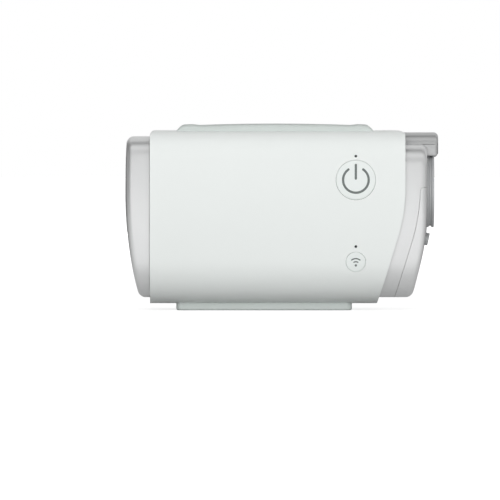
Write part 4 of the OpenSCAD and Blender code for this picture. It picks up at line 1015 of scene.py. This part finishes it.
button_cap("power_cap", POWER_XZ, POWER_R, "power_key", "power_button")
button_cap("wireless_cap", WIRELESS_XZ, WIRELESS_R, "wireless_key", "wireless_button")
power_mark()
wireless_mark()
lamp("power_lamp", POWER_LAMP_XZ, "power_light_pipe")
lamp("wireless_lamp", WIRELESS_LAMP_XZ, "wireless_light_pipe")


# ------------------------ grip pads

PAD_SINK = 0.02                 # how far a pad's edge sinks into the case


def smooth(t):
    t = np.clip(t, 0, 1)
    return t * t * (3 - 2 * t)


def eased(low, high, n):
    """Values from low to high, closer together towards both ends."""
    return low + (high - low) * (1 - np.cos(np.linspace(0, math.pi, n))) / 2


def top_pad():
    """Grip pad on the top: a height over the case for each plane point (x, y), worked out as the long arch with its
    raised ends times the rise from the pad's edge, round for half the height and steep below."""
    low, high = corners("top_grip_pad")
    arch, lift, lift_run, lift_ramp = 1800, 0.5, 10.5, 4
    end_run, end_power, side_run = 3.6, 1.8, 2.0
    half, mid = (high[0] - low[0]) / 2, (high[0] + low[0]) / 2
    x, y = np.meshgrid(eased(low[0], high[0], 121), eased(low[1], high[1], 49), indexing="ij")
    d = np.abs(x - mid)
    line = high[2] - CASE_TOP - d ** 2 / arch + lift * smooth((d - half + lift_run) / lift_ramp)
    end = 1 - np.clip(1 - (half - d) / end_run, 0, 1) ** end_power
    side = np.clip(np.minimum(y - low[1], high[1] - y) / side_run, 0, 1)
    rise = end * np.sqrt(1 - (1 - side) ** 2)
    skin = Skin().grid(xyz(x, y, CASE_TOP + line * rise - PAD_SINK))
    return piece("top_pad", skin, "case", "pad_soft", ["top_grip_pad"])


def bottom_pad():
    """Grip pad under the case: its rounded outline carried up to the case, which curves away at the front."""
    low, high = corners("bottom_grip_pad")
    r, roll = 2.5, 0.9
    a = swept(0, 90, 9)
    quarter = np.stack([np.cos(a), np.sin(a)], 1)
    turn = np.array([[0, -1], [1, 0]])

    def ring(inset):
        cx, cy = (high[0] - low[0]) / 2 - r, (high[1] - low[1]) / 2 - r
        loop = []
        for k, (sx, sy) in enumerate([(1, 1), (-1, 1), (-1, -1), (1, -1)]):
            spin = np.linalg.matrix_power(turn, k)
            loop.append(np.array([sx * cx, sy * cy]) + (r - inset) * quarter @ spin.T)
        return np.vstack(loop) + (low[:2] + high[:2]) / 2

    last = ring(0)
    rings = [np.hstack([ring(roll - roll * math.cos(b)), np.full((len(last), 1), low[2] + roll - roll * math.sin(b))])
             for b in swept(90, 0, 7)]
    under_front = np.sqrt(np.maximum(BOTTOM_R ** 2 - (last[:, 1] - CASE["low_c"][0]) ** 2, 0))
    curve = np.where(last[:, 1] < CASE["low_c"][0], CASE["low_c"][1] - under_front, CASE_LOW)
    rings.append(np.hstack([last, curve[:, None] - PAD_SINK]))
    middle_line = rings[0].copy()
    middle_line[:, 1] = (low[1] + high[1]) / 2
    skin = Skin().ring(np.array(rings)).ring(np.array([middle_line, rings[0]]))
    return piece("bottom_pad", skin, "case", "pad_soft", ["bottom_grip_pad"])


top_pad()
bottom_pad()


# ------------------------ filter and foam

def soft_slab(skin, low, high, puff, edge=0.8):
    """Adds a soft slab in a box: two faces across the box's least direction, which swell by puff towards their middle
    as (1 - v^4)(1 - w^4) and fall away over their edges round a quarter turn, joined by a band at the rim."""
    n = 33
    thin = int(np.argmin(high - low))
    across = [k for k in range(3) if k != thin]
    v = np.sin(np.linspace(-1, 1, n) * math.pi / 2)
    v, w = np.meshgrid(v, v, indexing="ij")
    mid, half = (low + high) / 2, (high - low) / 2
    rim_in = np.min(half[across]) * (1 - np.maximum(np.abs(v), np.abs(w)))
    fall = edge - np.sqrt(np.maximum(edge ** 2 - np.maximum(edge - rim_in, 0) ** 2, 0))
    swell = puff * (1 - (1 - v ** 4) * (1 - w ** 4))
    faces = []
    for way in (-1, 1):
        p = np.zeros((n, n, 3))
        p[..., thin] = mid[thin] + way * (half[thin] - swell - fall)
        p[..., across[0]] = mid[across[0]] + half[across[0]] * v
        p[..., across[1]] = mid[across[1]] + half[across[1]] * w
        faces.append(p)
        skin.grid(p)
    for rows, cols in ((0, slice(None)), (slice(None), -1), (-1, slice(None)), (slice(None), 0)):
        skin.grid(np.stack([faces[0][rows, cols], faces[1][rows, cols]]))


FOAM_REACH = 7.0                # how far each foam slab reaches past the filter's edge
FELT_PUFF, FOAM_PUFF = 0.25, 0.3


def filter_and_foam():
    """The filter pad behind the intake slots, and the two foam slabs that line the muffler's top and bottom."""
    felt, foam = Skin(), Skin()
    opening = corners("air_filter")
    soft_slab(felt, *opening, FELT_PUFF)
    piece("filter_pad", felt, "filter_door", "filter_felt", ["air_filter"])
    low, high = corners("muffler_foam")
    for z0, z1 in ((low[2], opening[0][2] + FOAM_REACH), (opening[1][2] - FOAM_REACH, high[2])):
        soft_slab(foam, np.array([*low[:2], z0]), np.array([*high[:2], z1]), FOAM_PUFF)
    piece("muffler_lining", foam, "case", "foam_dark", ["muffler_foam"])


filter_and_foam()


# ------------------------ stage, light and camera

def ramped(tree, value, stops):
    """A value read off a line through stops of (position, brightness)."""
    ramp = added(tree, "FloatCurve")
    curve = ramp.mapping.curves[0]
    curve.points[0].location, curve.points[-1].location = stops[0], stops[-1]
    for stop in stops[1:-1]:
        curve.points.new(*stop)
    for point in curve.points:
        point.handle_type = "VECTOR"
    ramp.mapping.update()
    link(tree, value, ramp.inputs["Value"])
    return ramp.outputs["Value"]


def rays(tree):
    """The kinds of ray, and a mask of those that come from the camera or through something clear."""
    ray = added(tree, "LightPath").outputs
    return ray, math_node(tree, "MAXIMUM", ray["Is Camera Ray"], ray["Is Transmission Ray"])


def floor_material():
    """Floor: a plain diffuse colour that keeps shadows. The camera, and what is seen through something clear, get
    white added. Reflections get a floor that is bright in front of the unit, and dark close under it and far to the
    sides."""
    tree, shader = started("floor_pale")
    tree.nodes.remove(shader)
    out = tree.nodes["Material Output"]
    ray, watched = rays(tree)
    where = added(tree, "SeparateXYZ")
    link(tree, added(tree, "TexCoord").outputs["Object"], where.inputs[0])
    # Seen only in reflections: painted shade on the floor close under the unit, painted light in front of it, fading
    # far to the sides.
    ahead = ramped(tree, math_node(tree, "MULTIPLY", where.outputs["Y"], -1.0),
                   [(0.0, 0.28), (0.030, 0.34), (0.070, 0.62), (0.3, 0.80), (1.0, 0.84)])
    aside = mapped(tree, math_node(tree, "ABSOLUTE", where.outputs["X"], 0), 0.10, 0.40, 1.0, 0.3)
    far = added(tree, "VectorMath")
    far.operation = "LENGTH"
    link(tree, tree.nodes["Texture Coordinate"].outputs["Object"], far.inputs[0])
    white = mapped(tree, far.outputs["Value"], 0.25, 1.0, FLOOR_GLOW, 1.02)
    glossy = math_node(tree, "MULTIPLY", ray["Is Glossy Ray"], math_node(tree, "MULTIPLY", ahead, aside))
    lit = added(tree, "BsdfDiffuse")
    lit.inputs["Color"].default_value = (FLOOR_DIFFUSE,) * 3 + (1,)
    glow = added(tree, "Emission")
    glow.inputs["Color"].default_value = (1, 1, 1, 1)
    link(tree, math_node(tree, "ADD", math_node(tree, "MULTIPLY", watched, white), glossy),
         glow.inputs["Strength"])
    both = added(tree, "AddShader")
    link(tree, lit.outputs[0], both.inputs[0])
    link(tree, glow.outputs[0], both.inputs[1])
    link(tree, both.outputs[0], out.inputs["Surface"])
    return FINISH["floor_pale"]


def stage():
    """A pale floor on which the unit stands."""
    half = 3.0
    mesh = bpy.data.meshes.new("floor")
    mesh.from_pydata([(-half, -half, 0), (half, -half, 0), (half, half, 0), (-half, half, 0)], [], [[0, 1, 2, 3]])
    mesh.materials.append(floor_material())
    placed("floor", mesh)


FLOOR_DIFFUSE, FLOOR_GLOW = 0.46, 0.80
FRONT_GLOSS, AMBIENT = 0.96, 0.30
LEFT_GAIN = 1.2                 # how much brighter than the room straight ahead its left side gets at most
# What a glossy surface sees of the room, against the angle up from the camera's side: the bright side behind the
# camera, a dark flag over it, a strip light, a dark ceiling and a grey back wall
ROOM = [(0, FRONT_GLOSS), (6, FRONT_GLOSS), (11, 0.52), (38, 0.50), (46, 0.88), (62, 0.88), (79, 0.35), (86, 0.05),
        (97, 0.05), (106, 0.75), (180, 0.75)]


def world():
    """Even soft light for what is lit, white for the camera, and a room with bright and dark sides for what
    reflects."""
    made = bpy.data.worlds.new("studio")
    bpy.context.scene.world = made
    made.use_nodes = True
    tree = made.node_tree
    tree.nodes.clear()
    out = added(tree, "OutputWorld")
    ray, watched = rays(tree)
    way = added(tree, "SeparateXYZ")
    link(tree, added(tree, "TexCoord").outputs["Generated"], way.inputs[0])
    up = math_node(tree, "ARCTAN2", way.outputs["Z"], math_node(tree, "MULTIPLY", way.outputs["Y"], -1.0))
    room = ramped(tree, mapped(tree, up, 0, math.pi, 0, 1), [(a / 180, v / LEFT_GAIN) for a, v in ROOM])
    left = mapped(tree, way.outputs["X"], -0.30, -0.70, LEFT_GAIN, 0.15)
    right = mapped(tree, way.outputs["X"], 0.35, 0.80, 1.0, 0.85)
    edge = mapped(tree, way.outputs["X"], -0.85, -1.0, 0.0, 0.45)
    aside = math_node(tree, "ADD", math_node(tree, "MULTIPLY", left, right), edge)
    glossy = math_node(tree, "MULTIPLY", room, aside)
    total = math_node(tree, "ADD", watched, math_node(tree, "MULTIPLY", ray["Is Glossy Ray"], glossy))
    plain_ray = math_node(tree, "SUBTRACT", 1.0, math_node(tree, "MAXIMUM", watched, ray["Is Glossy Ray"]))
    light = added(tree, "Background")
    light.inputs["Color"].default_value = (1, 1, 1, 1)
    link(tree, math_node(tree, "ADD", total, math_node(tree, "MULTIPLY", plain_ray, AMBIENT)),
         light.inputs["Strength"])
    link(tree, light.outputs[0], out.inputs["Surface"])


def face(obj, place, target):
    """Puts a light or the camera at a place, looking at a target."""
    obj.location = place
    obj.rotation_euler = (target - place).to_track_quat("-Z", "Y").to_euler()


def area_light(name, place, target, size, power):
    """A square soft box that looks at a point."""
    lamp_data = bpy.data.lights.new(name, "AREA")
    lamp_data.shape, lamp_data.size, lamp_data.energy = "SQUARE", size, power
    light = placed(name, lamp_data)
    light.visible_glossy = False
    face(light, Vector(place), Vector(target))


def camera():
    """Almost level with the button face and a little above the unit, which lies right of the picture's middle."""
    distance, rise, view_w = 4.50, 0.118, 0.2176
    aim = Vector((-0.0139, -0.010, 0.0263))
    data = bpy.data.cameras.new("camera")
    data.sensor_width = SENSOR_W
    data.lens = SENSOR_W * distance / view_w
    made = placed("camera", data)
    face(made, aim + Vector((0, -math.sqrt(distance ** 2 - rise ** 2), rise)), aim)
    bpy.context.scene.camera = made


LIGHTS_AT, SENSOR_W = (0, 0, 0.04), 36
stage()
world()
for label, place, size, power in (("key", (-0.18, -1.27, 0.40), 0.8, 8.8), ("fill", (0.60, -1.15, 0.15), 0.7, 4),
                                  ("top", (0.0, -0.2, 1.2), 0.9, 2), ("back", (0.25, 1.25, 0.30), 0.8, 4.5)):
    area_light(label, place, LIGHTS_AT, size, power)
camera()
bpy.context.scene.view_settings.view_transform = "Standard"

bpy.context.view_layer.update()
